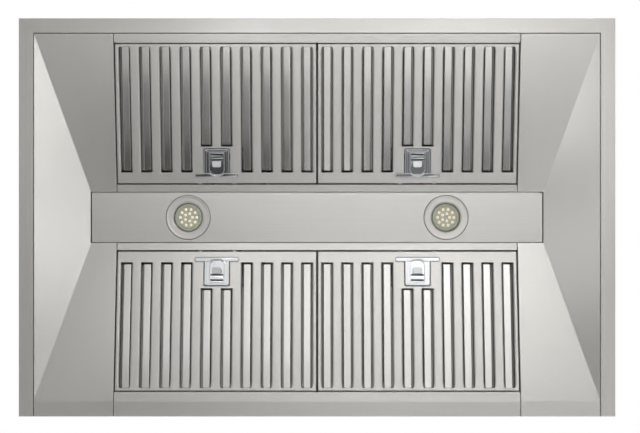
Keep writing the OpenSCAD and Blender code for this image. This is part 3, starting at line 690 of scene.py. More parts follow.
def outline_of(corners: list[Point3], steps: int = 4) -> Outline:
    """Draws the outline of a shape whose corners are all square, with each corner rounded.

    Args:
        corners: X, Y and radius of each corner, counter-clockwise.
        steps: Steps in each corner.

    Returns:
        Points with the direction that faces away from the shape, counter-clockwise.
    """
    outline = []
    for index, (x, y, radius) in enumerate(corners):
        corner = Vector((x, y))
        before = (corner - Vector(corners[index - 1][:2])).normalized()
        after = (Vector(corners[(index + 1) % len(corners)][:2]) - corner).normalized()
        side = 1 if before.cross(after) > 0 else -1
        for angle in quarter(steps):
            spoke = before * math.sin(angle) - after * math.cos(angle)
            outline.append((corner + (after - before + spoke) * radius, spoke * side))
    return outline


def rectangle(low: Point2, high: Point2, near: float, far: float | None = None,
              steps: int = 4) -> Outline:
    """Draws the outline of a rectangle.

    Args:
        low: Its corner at the lowest X and Y.
        high: Its corner at the highest X and Y.
        near: Radius of the two corners at the low Y.
        far: Radius of the other two, where it differs.
        steps: Steps in each corner.

    Returns:
        The outline.
    """
    far = near if far is None else far
    return outline_of([(*corner, radius) for corner, radius in
                       zip(corners_of(low, high), (near, near, far, far))], steps)


def with_stations(outline: Outline, stations: list[float]) -> Outline:
    """Adds points to an outline where its two long sides pass the given Y.

    Args:
        outline: The outline.
        stations: The Y of each added point.

    Returns:
        The longer outline.
    """
    points = []
    for index, (point, away) in enumerate(outline):
        points.append((point, away))
        side = outline[(index + 1) % len(outline)][0] - point
        if abs(side.y) > max(stations) - min(stations) and abs(side.x) < 1e-6:
            points += [(Vector((point.x, y)), away) for y in sorted(stations, reverse=side.y < 0)]
    return points


class SheetWork:
    """Open sheet under construction, in a piece's own X, Y and Z."""

    def __init__(self) -> None:
        """Starts with nothing."""
        self.work = bmesh.new()

    def ring(self, outline: Outline, offsets: list[float], heights: list[float]) -> Loop:
        """One loop of vertices along an outline, shifted outwards and up point by point."""
        return [self.work.verts.new((*(point + away * offset), height))
                for (point, away), offset, height in zip(outline, offsets, heights)]

    def bridge(self, first: Loop, second: Loop) -> None:
        """Faces between two loops."""
        for corners in zip(first, first[1:] + first[:1], second[1:] + second[:1], second):
            self.work.faces.new(corners)

    def stack(self, outline: Outline, rows: list[Point2], shares: list[float] | None = None) -> list[Loop]:
        """Builds loops along one outline, each joined to the next.

        Args:
            outline: Where they run.
            rows: How far outwards and how high each loop lies.
            shares: How much of both each point of the outline takes.

        Returns:
            The loops, in the rows' order.
        """
        shares = shares or [1.0] * len(outline)
        loops = [self.ring(outline, [offset * share for share in shares],
                           [height * share for share in shares]) for offset, height in rows]
        for lower, upper in zip(loops, loops[1:]):
            self.bridge(lower, upper)
        return loops

    def rolled_rim(self, outline: Outline, side: int, radius: float, rise: float,
                   shares: list[float] | None = None) -> Loop:
        """Rolls a wall up out of the flat sheet along an outline.

        Args:
            outline: Where the wall stands.
            side: 1 where the flat sheet lies outside the outline, -1 where it lies inside.
            radius: Radius of the roll.
            rise: Height of the wall's top above the flat sheet.
            shares: How much of the roll and rise each point of the outline has.

        Returns:
            The loop that lies in the flat sheet.
        """
        rows = [(side * radius * (1 - math.sin(turn)), radius * (1 - math.cos(turn)))
                for turn in quarter(5)]
        return self.stack(outline, [*rows, (0.0, rise)], shares)[0]

    def bead(self, outline: Outline, back: float, front: float, radius: float) -> None:
        """Adds a closed raised bead with a rounded front.

        Args:
            outline: Its outline.
            back: Height of its back.
            front: Height of its front, which is lower.
            radius: How far its edge is rounded.
        """
        rows = [(-radius * (1 - math.cos(turn)), front + radius * (1 - math.sin(turn)))
                for turn in quarter(4)]
        loops = self.stack(outline, [(0.0, back), *rows])
        self.work.faces.new(loops[0])
        self.work.faces.new(list(reversed(loops[-1])))

    def lift_edge(self, start: float, length: float, rise: float, top: float) -> None:
        """Raises the sheet's low Y edge by a rounded step.

        Args:
            start: Y where the step's upper end lies.
            length: How far the step runs.
            rise: Height of the step.
            top: Height whose points stay where they are.
        """
        cuts = 8
        for index in range(cuts + 1):
            geometry = [*self.work.verts, *self.work.edges, *self.work.faces]
            bmesh.ops.bisect_plane(self.work, geom=geometry, plane_no=(0, 1, 0),
                                   plane_co=(0, start + length * index / cuts, 0))
        for vert in self.work.verts:
            step = rise * eased(1 - (vert.co.y - start) / length)
            vert.co.z += step * (1 - min(1.0, vert.co.z / top))

    def plain_hole(self, outline: Outline) -> Loop:
        """Loop of a hole that is only cut."""
        flat = [0.0] * len(outline)
        return self.ring(outline, flat, flat)

    def fill(self, loops: list[Loop]) -> None:
        """Fills the flat sheet between an outer loop and the holes in it.

        Args:
            loops: The outer loop and the holes' loops.
        """
        edges = []
        for loop in loops:
            for pair in zip(loop, loop[1:] + loop[:1]):
                edges.append(self.work.edges.get(pair) or self.work.edges.new(pair))
        bmesh.ops.triangle_fill(self.work, use_beauty=True, use_dissolve=False, edges=edges)

    def finish(self, name: str, thickness: float, frame_of: Matrix) -> bpy.types.Object:
        """Gives the sheet its thickness and place.

        Args:
            name: The piece's name.
            thickness: Thickness of the sheet, added above its face, or 0 for work that is closed.
            frame_of: From the sheet's own axes to the row frame.

        Returns:
            The piece.
        """
        weld = 0.005 * MM
        bmesh.ops.remove_doubles(self.work, verts=self.work.verts, dist=weld)
        bmesh.ops.dissolve_degenerate(self.work, dist=weld, edges=self.work.edges)
        bmesh.ops.recalc_face_normals(self.work, faces=self.work.faces)
        flat = max(self.work.faces, key=lambda f: f.calc_area())
        if thickness and flat.normal.z > 0:
            bmesh.ops.reverse_faces(self.work, faces=self.work.faces)
        piece = Shop.mesh_object(name, self.work)
        if thickness:
            Shop.thicken(piece, thickness)
        Shop.place(piece, frame_of)
        return piece


def lathe(name: str, profile: list[Point2], frame_of: Matrix, segments: int = 96) -> bpy.types.Object:
    """Turns a round piece about its own Z, from a closed outline of radius and height.

    Args:
        name: The piece's name.
        profile: Radius and height along the outline, counter-clockwise.
        frame_of: From the piece's own axes to the row frame.
        segments: Facets round the axis.

    Returns:
        The piece, whose mesh holds each point's radius for the turned finish.
    """
    work = bmesh.new()
    layer = work.verts.layers.float.new("radius")
    rows = []
    for radius, height in profile:
        row = []
        for i in range(1 if radius < 1e-7 else segments):
            angle = 2 * math.pi * i / segments
            vert = work.verts.new((radius * math.cos(angle), radius * math.sin(angle), height))
            vert[layer] = radius
            row.append(vert)
        rows.append(row)
    for first, second in zip(rows, rows[1:] + rows[:1]):
        for i in range(segments):
            j = (i + 1) % segments
            corners = (first[i % len(first)], first[j % len(first)],
                       second[j % len(second)], second[i % len(second)])
            unique = list(dict.fromkeys(corners))
            if len(unique) > 2:
                work.faces.new(unique)
    bmesh.ops.recalc_face_normals(work, faces=work.faces)
    piece = Shop.mesh_object(name, work)
    Shop.place(piece, frame_of, 35.0)
    return piece


class Pattern(Graph):
    """Geometry Nodes tree for something that repeats, with its sizes as named inputs."""

    def __init__(self, name: str, **sizes: float) -> None:
        """Starts the tree.

        Args:
            name: The tree's name.
            sizes: Its inputs, with whole numbers for counts.
        """
        super().__init__(bpy.data.node_groups.new(name, "GeometryNodeTree"))
        self.sizes = sizes
        face = self.tree.interface
        face.new_socket("Geometry", in_out="OUTPUT", socket_type="NodeSocketGeometry")
        self.keys = {}
        for label, value in sizes.items():
            kind = "NodeSocketInt" if isinstance(value, int) else "NodeSocketFloat"
            self.keys[label] = face.new_socket(label, in_out="INPUT", socket_type=kind).identifier
        self.finish_key = face.new_socket("finish", in_out="INPUT",
                                          socket_type="NodeSocketMaterial").identifier
        self.entry = self.tree.nodes.new("NodeGroupInput")

    def size(self, label: str) -> Sock:
        """One of the tree's inputs."""
        return Sock(self, self.entry.outputs[label])

    def vector(self, x: Sock | float = 0.0, y: Sock | float = 0.0, z: Sock | float = 0.0) -> Sock:
        """Vector from its three parts."""
        return self.node("ShaderNodeCombineXYZ", None, {0: x, 1: y, 2: z})

    def position(self) -> list[Sock]:
        """X, Y and Z of each point."""
        place = self.node("GeometryNodeInputPosition")
        return [self.node("ShaderNodeSeparateXYZ", None, {0: place}, axis) for axis in range(3)]

    def spread(self, points: Sock, thing: Sock, scale: Point3 | Sock = (1.0, 1.0, 1.0)) -> Sock:
        """One thing on each point, scaled along its axes."""
        links = {"Points": points, "Instance": thing, "Scale": scale}
        return self.node("GeometryNodeInstanceOnPoints", None, links)

    def close(self, *things: Sock) -> None:
        """Joins, realizes and coats what the tree made, and hands it out.

        Args:
            things: What the tree made.
        """
        joined = self.tree.nodes.new("GeometryNodeJoinGeometry")
        for thing in things:
            self.tree.links.new(thing.out, joined.inputs[0])
        real = self.node("GeometryNodeRealizeInstances", None, {0: Sock(self, joined.outputs[0])})
        coated = self.node("GeometryNodeSetMaterial", None,
                           {"Geometry": real, "Material": self.size("finish")})
        self.node("NodeGroupOutput", None, {0: coated})

    def make(self, name: str, finish: Finish) -> bpy.types.Object:
        """Runs the tree.

        Args:
            name: The new piece's name.
            finish: What the tree coats it with.

        Returns:
            A piece with the tree's result as its mesh.
        """
        piece = Shop.mesh_object(name, bmesh.new())
        modifier = piece.modifiers.new("pattern", "NODES")
        modifier.node_group = self.tree
        for label, key in self.keys.items():
            modifier[key] = self.sizes[label]
        modifier[self.finish_key] = finish.material()
        Shop.bake(piece)
        return piece


# Sub-assemblies

@dataclass
class Canopy:
    """Sheet shell: five blanks with folded edges, and the deck under the chimney."""

    fold: float = 0.55 * MM
    side_fold: float = 0.3 * MM

    def build(self) -> None:
        """Softens the blanks and finishes each along its own grain."""
        folds = Softener(self.fold)
        folds.make(Finishes.canopy_front, "canopy_front")
        Softener(self.side_fold).make(Finishes.canopy_side, "canopy_left_side", "canopy_right_side")
        folds.make(Finishes.canopy_front, "canopy_deck")
        folds.make(Finishes.galvanised, "back_plate")


@dataclass
class Underside:
    """Folded liners, ledges and rails round the filters, and the light panel."""

    fold: float = 0.55 * MM
    liner_segments: int = 5

    def build(self) -> None:
        """Softens the liners, whose hips show most, and the rails and panel."""
        liners = Softener(self.fold, segments=self.liner_segments)
        liners.make(Finishes.side_liner, "left_side_liner", "right_side_liner")
        Softener(self.fold).make(Finishes.liner, "front_filter_rail", "rear_filter_rail",
                                 "front_latch_rail", "rear_latch_rail", "light_panel")


@dataclass
class Filters:
    """Four baffle filters: slotted pans over rear slats."""

    slot_count: int = 10
    slot_width: float = 17 * MM
    slot_side: float = 6.4 * MM
    slot_start: float = 6 * MM
    slot_margin: float = 17.6 * MM
    slot_corner: float = 2.4 * MM
    slot_cut: float = 0.8 * MM
    slot_fade: float = 9 * MM
    slot_least: float = 0.1
    tail: float = 8 * MM
    play: float = 0.2 * MM
    side_play: float = 0.35 * MM
    sheet: float = 0.8 * MM
    depth: float = 13 * MM
    roll: float = 2.2 * MM
    lip: float = 5.0 * MM
    edge_roll: float = 1.4 * MM
    pan_corner: float = 1.6 * MM
    step_start: float = 0.3 * MM
    step_length: float = 2.4 * MM
    step_rise: float = 1.7 * MM
    slat_start: float = 3 * MM
    slat_flat: float = 4.7 * MM
    slat_wing: float = 4.4 * MM
    slat_rise: float = 2.2 * MM
    slat_sheet: float = 0.8 * MM
    slat_face: float = 9.8 * MM
    slat_gap: float = 2.4 * MM
    slat_points: int = 41
    bar_lift: float = 0.1 * MM
    bar_width: float = 13 * MM
    bar_gap: float = 1 * MM
    latch_behind: float = 54 * MM
    behind_gap: float = 4 * MM
    behind_width: float = 24 * MM
    hole_width: float = 41.4 * MM
    hole_near: float = 10.6 * MM
    hole_margin: float = 1.2 * MM
    hole_corner: float = 3.6 * MM
    hole_cut: float = 0.5 * MM

    def __post_init__(self) -> None:
        """Works out what follows from the frame and the sizes."""
        low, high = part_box("front_left_filter_face")
        self.joints = {j["name"]: j for j in frame["joints"]}
        self.width = high.x - low.x
        cosine = Vector(self.joints["front_left_latch_slide"]["axis"]).normalized().y
        hinge = self.joints["front_left_filter_tilt"]["pos_m"]
        self.reach = (high.y - hinge[1] + self.play * math.sqrt(1 - cosine * cosine)) / cosine
        self.pitch = (self.width - 2 * self.slot_side - self.slot_width) / (self.slot_count - 1)

    def axes(self, corner: str) -> Matrix:
        """Finds a filter's own axes: X across, Y to the latch, Z up.

        Args:
            corner: Which filter.

        Returns:
            From those axes to the row frame.
        """
        along = Vector(self.joints[f"{corner}_latch_slide"]["axis"]).normalized()
        across = Vector((1, 0, 0))
        up = across.cross(along)
        if up.z < 0:
            up.negate()
        frame_of = Matrix((across, along, up)).transposed().to_4x4()
        frame_of.translation = Vector(self.joints[f"{corner}_filter_tilt"]["pos_m"])
        low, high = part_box(f"{corner}_filter_face")
        frame_of.translation.x = (low.x + high.x) / 2
        return frame_of

    def slot_x(self, index: int) -> float:
        """Middle of a slot."""
        return (index - (self.slot_count - 1) / 2) * self.pitch

    def slot_end(self, index: int) -> float:
        """Where a slot ends, which is short of the latch for those behind it."""
        behind = abs(self.slot_x(index)) < self.behind_width
        return self.reach - (self.latch_behind + self.behind_gap if behind else self.slot_margin)

    def roll_share(self, y: float, end: float) -> float:
        """Share of its roll that a slot's edge has: little near the hinge, none where it is cut."""
        drawn = self.slot_least + (1 - self.slot_least) * eased((y - self.slot_start) / self.slot_fade)
        return min(drawn, min(1.0, max(0.0, (end - y) / self.slot_cut)))

    def face(self, corner: str) -> None:
        """Makes the pan with its rolled slots, whose latch ends are cut square.

        Args:
            corner: Which filter.
        """
        sheet = SheetWork()
        half = self.width / 2 - self.side_play
        pan = rectangle((-half, -self.tail), (half, self.reach - self.side_play), self.pan_corner)
        loops = [sheet.rolled_rim(pan, -1, self.edge_roll, self.depth - self.play)]
        half = self.slot_width / 2
        for index in range(self.slot_count):
            x, end = self.slot_x(index), self.slot_end(index)
            slot = rectangle((x - half, self.slot_start), (x + half, end), self.slot_corner, self.slot_cut)
            slot = with_stations(slot, [self.slot_start + self.slot_fade * k / 6 for k in range(2, 7)])
            shares = [self.roll_share(point.y, end) for point, _ in slot]
            loops.append(sheet.rolled_rim(slot, 1, self.roll, self.lip, shares))
        half = self.hole_width / 2
        hole = rectangle((-half, self.reach - self.latch_behind - self.hole_margin),
                         (half, self.reach - self.hole_near), self.hole_corner, self.hole_cut)
        loops.append(sheet.plain_hole(hole))
        sheet.fill(loops)
        sheet.lift_edge(self.step_start, self.step_length, self.step_rise, self.depth - self.play)
        lift = Matrix.Translation((0, 0, self.play))
        piece = sheet.finish(f"{corner}_filter_pan", self.sheet, self.axes(corner) @ lift)
        Shop.settle(piece, Finishes.filter_face, f"{corner}_filter_face")

    def slats(self) -> Pattern:
        """Plans the rear slats: a flat with a wing down each side, at the slots' pitch.

        Returns:
            Their tree.
        """
        long = self.slot_end(0) - self.slat_gap - self.slat_start
        short = self.slot_end(self.slot_count // 2) - self.slat_gap - self.slat_start
        tree = Pattern("rear_slats", count=self.slot_count, pitch=self.pitch, flat=self.slat_flat,
                       wing=self.slat_wing, rise=self.slat_rise, length=long, short_share=short / long,
                       behind=self.behind_width, start=self.slat_start)
        blank = tree.node("GeometryNodeMeshGrid", None, {
            "Size X": (tree.size("flat") + tree.size("wing")) * 2.0, "Size Y": tree.size("length"),
            "Vertices X": self.slat_points, "Vertices Y": 2})
        x, y, _ = tree.position()
        out = ((abs(x) - tree.size("flat")) / tree.size("wing")).clamp(0.0, 1.0)
        lift = out * out * (3.0 - out * 2.0) * tree.size("rise")
        bent = tree.node("GeometryNodeSetPosition", None, {
            "Geometry": blank, "Position": tree.vector(x, y + tree.size("length") * 0.5, lift)})
        first = (tree.size("count") - 1.0) * tree.size("pitch") * -0.5
        row = tree.node("GeometryNodeMeshLine", {"mode": "OFFSET"}, {
            "Count": tree.size("count"), "Offset": tree.vector(tree.size("pitch")),
            "Start Location": tree.vector(first, tree.size("start"))})
        behind = tree.math("LESS_THAN", abs(tree.position()[0]), tree.size("behind"))
        share = behind * (tree.size("short_share") - 1.0) + 1.0
        tree.close(tree.spread(row, bent, tree.vector(1.0, share, 1.0)))
        return tree

    def baffles(self, corner: str, tree: Pattern) -> None:
        """Makes the rear slats of one filter, with the bars that join their ends.

        Args:
            corner: Which filter.
            tree: The slats' tree.
        """
        piece = tree.make(f"{corner}_filter_slats", Finishes.baffle)
        work = bmesh.new()
        work.from_mesh(piece.data)
        half = self.width / 2 - 2 * self.sheet
        for low, high in ((-self.tail + 2 * self.sheet, self.slot_start - self.bar_gap),
                          (self.reach - self.bar_width, self.reach - 2 * self.sheet)):
            add_rectangle(work, (-half, low), (half, high), self.bar_lift)
        for face in work.faces:
            face.normal_update()
            if face.normal.z > 0:
                face.normal_flip()
        work.to_mesh(piece.data)
        work.free()
        Shop.thicken(piece, self.slat_sheet)
        Shop.place(piece, self.axes(corner) @ Matrix.Translation((0, 0, self.slat_face)))
        Shop.settle(piece, Finishes.baffle, f"{corner}_filter_baffles")

    def build(self) -> None:
        """Builds the four filters and their latches."""
        tree = self.slats()
        for corner in ("front_left", "front_right", "rear_left", "rear_right"):
            self.face(corner)
            self.baffles(corner, tree)
            latch = Latch(corner, self.axes(corner), self.reach)
            latch.case()
            latch.slider()


@dataclass
class Latch:
    """Spring latch of one filter: a cast case with a window, and the slider behind it."""

    corner: str
    frame_of: Matrix
    reach: float
    setback: float = 9 * MM
    case_width: float = 39 * MM
    case_length: float = 45 * MM
    case_inset: float = 2.2 * MM
    case_corner: float = 3.2 * MM
    case_near_corner: float = 0.9 * MM
    case_back: float = 0.2 * MM
    case_depth: float = 1.3 * MM
    case_wall: float = 0.8 * MM
    case_front: float = -1.2 * MM
    bar_width: float = 70 * MM
    bar_length: float = 8.4 * MM
    bar_corner: float = 3.9 * MM
    bar_front: float = -2.5 * MM
    bar_round: float = 2.3 * MM
    notch_width: float = 19 * MM
    notch_height: float = 3.2 * MM
    notch_steps: int = 16
    rib_width: float = 3 * MM
    rib_in: float = 2.2 * MM
    rib_far: float = 1.4 * MM
    rib_near: float = 3 * MM
    rib_corner: float = 1.4 * MM
    rib_front: float = -2.0 * MM
    rib_round: float = 0.5 * MM
    foot_in: float = 4.6 * MM
    foot_far: float = 0.7 * MM
    foot_near: float = 3.4 * MM
    foot_corner: float = 1.3 * MM
    foot_front: float = -1.7 * MM
    sunk: float = 0.1 * MM
    window_width: float = 22 * MM
    window_start: float = 6 * MM
    window_lap: float = 2.4 * MM
    window_corner: float = 1 * MM
    arch: float = 8 * MM
    slider_front: float = 1.5 * MM
    slider_sheet: float = 1 * MM
    slider_width: float = 29 * MM
    slider_lap: float = 2.5 * MM
    slider_bevel: float = 0.3 * MM
    slider_corner: float = 0.8 * MM
    cross_start: float = 1.6 * MM
    cross_width: float = 20 * MM
    cross_length: float = 2.1 * MM
    cross_pitch: float = 8.1 * MM
    cross_corner: float = 0.9 * MM
    cross_bevel: float = 0.25 * MM
    tab_width: float = 14 * MM
    tab_start: float = 18.1 * MM
    tab_length: float = 10 * MM
    tab_front: float = -3 * MM
    tab_slope: float = -0.1
    tab_corner: float = 0.6 * MM
    tab_tip: float = 3 * MM
    tab_sheet: float = 1.2 * MM
    tab_round: float = 0.7 * MM
    web_length: float = 1.5 * MM
    web_corner: float = 0.4 * MM
    web_root: float = 0.2 * MM
    web_round: float = 0.3 * MM
    prong_spacing: float = 53 * MM
    prong_width: float = 6.5 * MM
    prong_corner: float = 1.5 * MM
    arm_start: float = 1 * MM
    arm_length: float = 6 * MM
    tip: float = 0.9 * MM

    def __post_init__(self) -> None:
        """Works out where the case and its window begin and end."""
        self.near = self.reach - self.setback
        self.far = self.near - self.case_length
        self.window_near = self.near - self.bar_length + self.window_lap
        self.window_far = self.far + self.window_start

    def notched_bar(self) -> Outline:
        """Draws the bar, with an arched notch in the side that meets the window.

        Returns:
            Its outline.
        """
        low = self.near - self.bar_length
        outline = rectangle((-self.bar_width / 2, low), (self.bar_width / 2, self.near), self.bar_corner)
        corner = len(outline) // 4
        half = self.notch_width / 2
        notch = []
        for step in range(1, self.notch_steps):
            turn = math.pi * (1 - step / self.notch_steps)
            point = Vector((half * math.cos(turn), low + self.notch_height * math.sin(turn)))
            slope = Vector((math.cos(turn) / half, math.sin(turn) / self.notch_height))
            notch.append((point, -slope.normalized()))
        return outline[:corner] + notch + outline[corner:]

    def case(self) -> None:
        """Casts the case, with a round bar across its near end and a rib down each side."""
        sheet = SheetWork()
        half = self.case_width / 2
        body = rectangle((-half, self.far), (half, self.near - self.case_inset),
                         self.case_corner, self.case_near_corner)
        loops = sheet.stack(body, [
            (-self.case_wall, self.case_back), (-self.case_wall, self.case_depth), (0.0, self.case_depth),
            *points_from(0.0, self.case_front, (0.0, 0.7), (-0.2, 0.25), (-0.7, 0.0))])
        wide = self.window_width / 2
        window = rectangle((-wide, self.window_far), (wide, self.window_near),
                           self.window_corner, self.arch, 6)
        hole = sheet.stack(window, [
            *points_from(0.0, self.case_front, (1.2, 0.0), (1.05, -0.4), (0.9, -0.5), (0.3, -0.5),
                         (0.1, -0.35), (0.0, 0.0)),
            (0.0, self.case_back)])
        sheet.fill([loops[-1], hole[0]])
        sheet.fill([loops[0], hole[-1]])
        back = self.case_front + self.sunk
        for side in (-1, 1):
            middle = side * (half - self.rib_in)
            rib = rectangle((middle - self.rib_width / 2, self.far + self.rib_far),
                            (middle + self.rib_width / 2, self.near - self.rib_near), self.rib_corner)
            sheet.bead(rib, back, self.rib_front, self.rib_round)
        foot = rectangle((-half + self.foot_in, self.far + self.foot_far),
                         (half - self.foot_in, self.far + self.foot_near), self.foot_corner)
        sheet.bead(foot, back, self.foot_front, self.rib_round)
        sheet.bead(self.notched_bar(), self.case_back, self.bar_front, self.bar_round)
        self.hand_over(sheet, "case")

    def plate(self) -> Outline:
        """Draws the slider's plate, with an arm and a prong on either side.

        Returns:
            Its outline.
        """
        half = self.slider_width / 2
        arm = (self.prong_spacing + self.prong_width) / 2
        gap = (self.prong_spacing - self.prong_width) / 2
        low = self.window_far - self.slider_lap
        near = self.near + self.arm_start
        elbow = near - self.arm_length
        tip = self.reach + self.tip
        right = [(half, low, self.slider_corner), (half, elbow, self.slider_corner),
                 (arm, elbow, self.slider_corner), (arm, tip, self.prong_corner),
                 (gap, tip, self.prong_corner), (gap, near, self.slider_corner)]
        left = [(-x, y, radius) for x, y, radius in reversed(right)]
        return outline_of([left[-1], *right, *left[:-1]])

    def slider(self) -> None:
        """Casts the slider, with two cross slots, its finger tab and two prongs."""
        sheet = SheetWork()
        front, back = self.slider_front, self.slider_front + self.slider_sheet
        bevel = self.slider_bevel
        loops = sheet.stack(self.plate(), [(0.0, back), (0.0, front + bevel), (-bevel, front)])
        fronts, backs = [loops[-1]], [loops[0]]
        half, bevel = self.cross_width / 2, self.cross_bevel
        for index in range(2):
            start = self.window_far + self.cross_start + index * self.cross_pitch
            cross = rectangle((-half, start), (half, start + self.cross_length), self.cross_corner)
            hole = sheet.stack(cross, [(bevel, front), (0.0, front + bevel), (0.0, back)])
            fronts.append(hole[0])
            backs.append(hole[-1])
        sheet.fill(fronts)
        sheet.fill(backs)
        half = self.tab_width / 2
        low = self.far + self.tab_start
        web = rectangle((-half, low), (half, low + self.web_length), self.web_corner)
        sheet.bead(web, front + self.web_root, self.tab_front + self.web_round, self.web_round)
        below = set(sheet.work.verts)
        tab = rectangle((-half, low), (half, low + self.tab_length), self.tab_corner, self.tab_tip)
        sheet.bead(tab, self.tab_front + self.tab_sheet, self.tab_front, self.tab_round)
        for vert in set(sheet.work.verts) - below:
            vert.co.z += self.tab_slope * (vert.co.y - low)
        self.hand_over(sheet, "slider")

    def hand_over(self, sheet: SheetWork, part: str) -> None:
        """Finishes a part of the latch and settles it."""
        piece = sheet.finish(f"{self.corner}_latch_{part}_cast", 0.0, self.frame_of)
        Shop.settle(piece, Finishes.latch, f"{self.corner}_latch_{part}")


@dataclass
class Lamps:
    """Two recessed lamps: trim ring on a gasket, LED cup and cast body."""

    opening: float = 22.75 * MM
    outer: float = 34.4 * MM
    gasket: float = 35.0 * MM
    neck: float = 28.5 * MM
    drop: float = 1.8 * MM
    floor: float = 8.0 * MM
    recess: float = 5.0 * MM
    face: float = 18.2 * MM
    led: float = 2.1 * MM
    rings: tuple[tuple[int, float], ...] = ((10, 12.7 * MM), (5, 6.0 * MM))
    facets: int = 128
    body_fold: float = 0.5 * MM

    def place(self, side: str) -> Matrix:
        """Finds a lamp's own axes, on the light panel's lower face.

        Args:
            side: Which lamp.

        Returns:
            From those axes to the row frame.
        """
        low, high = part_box(f"{side}_lamp_ring")
        centre = (low + high) / 2
        return Matrix.Translation((centre.x, centre.y, low.z + self.drop))

    def ring(self, side: str) -> None:
        """Makes the trim ring, with a shallow dish and a rounded edge, and the gasket behind it, whose black rim
        round the ring is partly painted shade of the gap.

        Args:
            side: Which lamp.
        """
        profile = [
            (self.opening - 1.75 * MM, self.floor),
            *points_from(self.opening, 0.0, (-0.8, 2.8), (-0.1, 0.6), (0.5, -0.6), (1.4, -1.2),
                         (2.6, -1.45)),
            *points_from(self.outer, 0.0, (-5.0, -1.3), (-2.6, -1.5)), (self.outer - 1.5 * MM, -self.drop),
            *points_from(self.outer, 0.0, (-0.7, -1.55), (-0.2, -1.1), (0.0, -0.5), (0.0, -0.15)),
            (self.neck, -0.1 * MM), (self.neck, self.floor)]
        piece = lathe(f"{side}_lamp_trim", profile, self.place(side), self.facets)
        Shop.settle(piece, Finishes.lamp_ring, f"{side}_lamp_ring")
        # Real rubber, but its black rim showing round the ring also stands in for the shade in the gap between
        # ring and panel.
        seal = [*points_from(self.neck, 0.0, (0.2, 0.0), (0.2, -0.1)),
                *points_from(self.outer, 0.0, (-0.2, -0.14), (0.05, -0.45)),
                *points_from(self.gasket, 0.0, (-0.1, -0.4), (0.0, 0.0))]
        piece = lathe(f"{side}_lamp_gasket", seal, self.place(side), self.facets)
        Shop.settle(piece, Finishes.gasket, f"{side}_lamp_ring")

    def cup(self, side: str) -> None:
        """Makes the board behind the LEDs, and the clear rim round it.

        Args:
            side: Which lamp.
        """
        edge = self.opening - 1.6 * MM
        shelf, back = self.floor - 0.8 * MM, self.floor - 0.3 * MM
        wall = self.face - 0.6 * MM
        board = [(0.0, self.recess), (wall, self.recess), (wall, shelf),
                 (edge, shelf), (edge, back), (0.0, back)]
        piece = lathe(f"{side}_lamp_board", board, self.place(side))
        Shop.settle(piece, Finishes.led_board, f"{side}_lamp_leds")
        rim = [
            *points_from(self.face, self.recess, (-0.5, 0.6), (-0.4, -0.9), (0.1, -1.5), (0.8, -1.6),
                         (1.5, -1.5)),
            *points_from(edge, self.recess, (-0.5, -1.2), (-0.2, -0.4), (-0.2, 1.6)),
            *points_from(self.face, self.recess, (-0.3, 1.8))]
        piece = lathe(f"{side}_lamp_rim", rim, self.place(side))
        Shop.settle(piece, Finishes.lens_rim, f"{side}_lamp_leds")

    def lenses(self) -> Pattern:
        """Plans the LEDs, in two circles.

        Returns:
            Their tree.
        """
        (outer_count, outer_radius), (inner_count, inner_radius) = self.rings
        tree = Pattern("led_circles", outer_count=outer_count, outer_radius=outer_radius,
                       inner_count=inner_count, inner_radius=inner_radius, led=self.led)
        dome = tree.node("GeometryNodeMeshUVSphere", None, {
            "Segments": 20, "Rings": 12, "Radius": tree.size("led")})
        circles = []
        for ring in ("outer", "inner"):
            points = tree.node("GeometryNodeMeshCircle", None, {
                "Vertices": tree.size(f"{ring}_count"), "Radius": tree.size(f"{ring}_radius")})
            circles.append(tree.spread(points, dome))
        tree.close(*circles)
        return tree

    def build(self) -> None:
        """Builds both lamps."""
        tree = self.lenses()
        for side in ("left", "right"):
            self.ring(side)
            self.cup(side)
            piece = tree.make(f"{side}_lamp_lenses", Finishes.led_lens)
            Shop.place(piece, self.place(side) @ Matrix.Translation((0, 0, self.recess)), 180.0)
            Shop.settle(piece, Finishes.led_lens, f"{side}_lamp_leds")
            Softener(self.body_fold).make(Finishes.lamp_body, f"{side}_lamp_body")


@dataclass
class Controls:
    """Push buttons, their dark panel, and the box and board behind the band."""

    buttons: tuple[str, ...] = ("power", "light", "low_speed", "medium_speed", "high_speed")
    radius: float = 7.0 * MM
    proud: float = 3.6 * MM
    lip_low: float = -2.7 * MM
    lip_high: float = -1.5 * MM
    lip: float = 2.0 * MM
    plunger: float = 2.5 * MM
    plunger_end: float = -10.2 * MM
    panel_edge: float = 0.4 * MM
    box_fold: float = 0.8 * MM
    box_sheet: float = 1 * MM
    board_edge: float = 0.2 * MM

    def button(self, name: str) -> None:
        """Turns a button with a dished face, on its plunger.

        Args:
            name: Which button.
        """
        low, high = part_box(f"{name}_button")
        centre = Vector(((low.x + high.x) / 2, low.y + self.proud, (low.z + high.z) / 2))
        frame_of = Matrix.Translation(centre) @ Matrix.Rotation(math.pi / 2, 4, "X")
        lip = self.radius + self.lip
        profile = [
            (0.0, self.proud - 0.7 * MM), (self.radius * 0.35, self.proud - 0.64 * MM),
            (self.radius * 0.65, self.proud - 0.42 * MM),
            *points_from(self.radius, self.proud, (-1.5, -0.12), (-1.1, 0.0), (-0.5, -0.1), (-0.12, -0.5),
                         (0.0, -1.0)),
            (self.radius, self.lip_high), (lip, self.lip_high), (lip, self.lip_low),
            (self.plunger, self.lip_low), (self.plunger, self.plunger_end), (0.0, self.plunger_end)]
        Shop.settle(lathe(f"{name}_cap", profile, frame_of), Finishes.button, f"{name}_button")

    def build(self) -> None:
        """Builds the buttons and finishes what lies round them."""
        for name in self.buttons:
            self.button(name)
        Softener(self.panel_edge, self.panel_edge).make(Finishes.control, "control_panel")
        Softener(self.box_fold, self.box_sheet).make(Finishes.galvanised, "control_box")
        Softener(self.board_edge, self.board_edge).make(Finishes.board, "control_board")


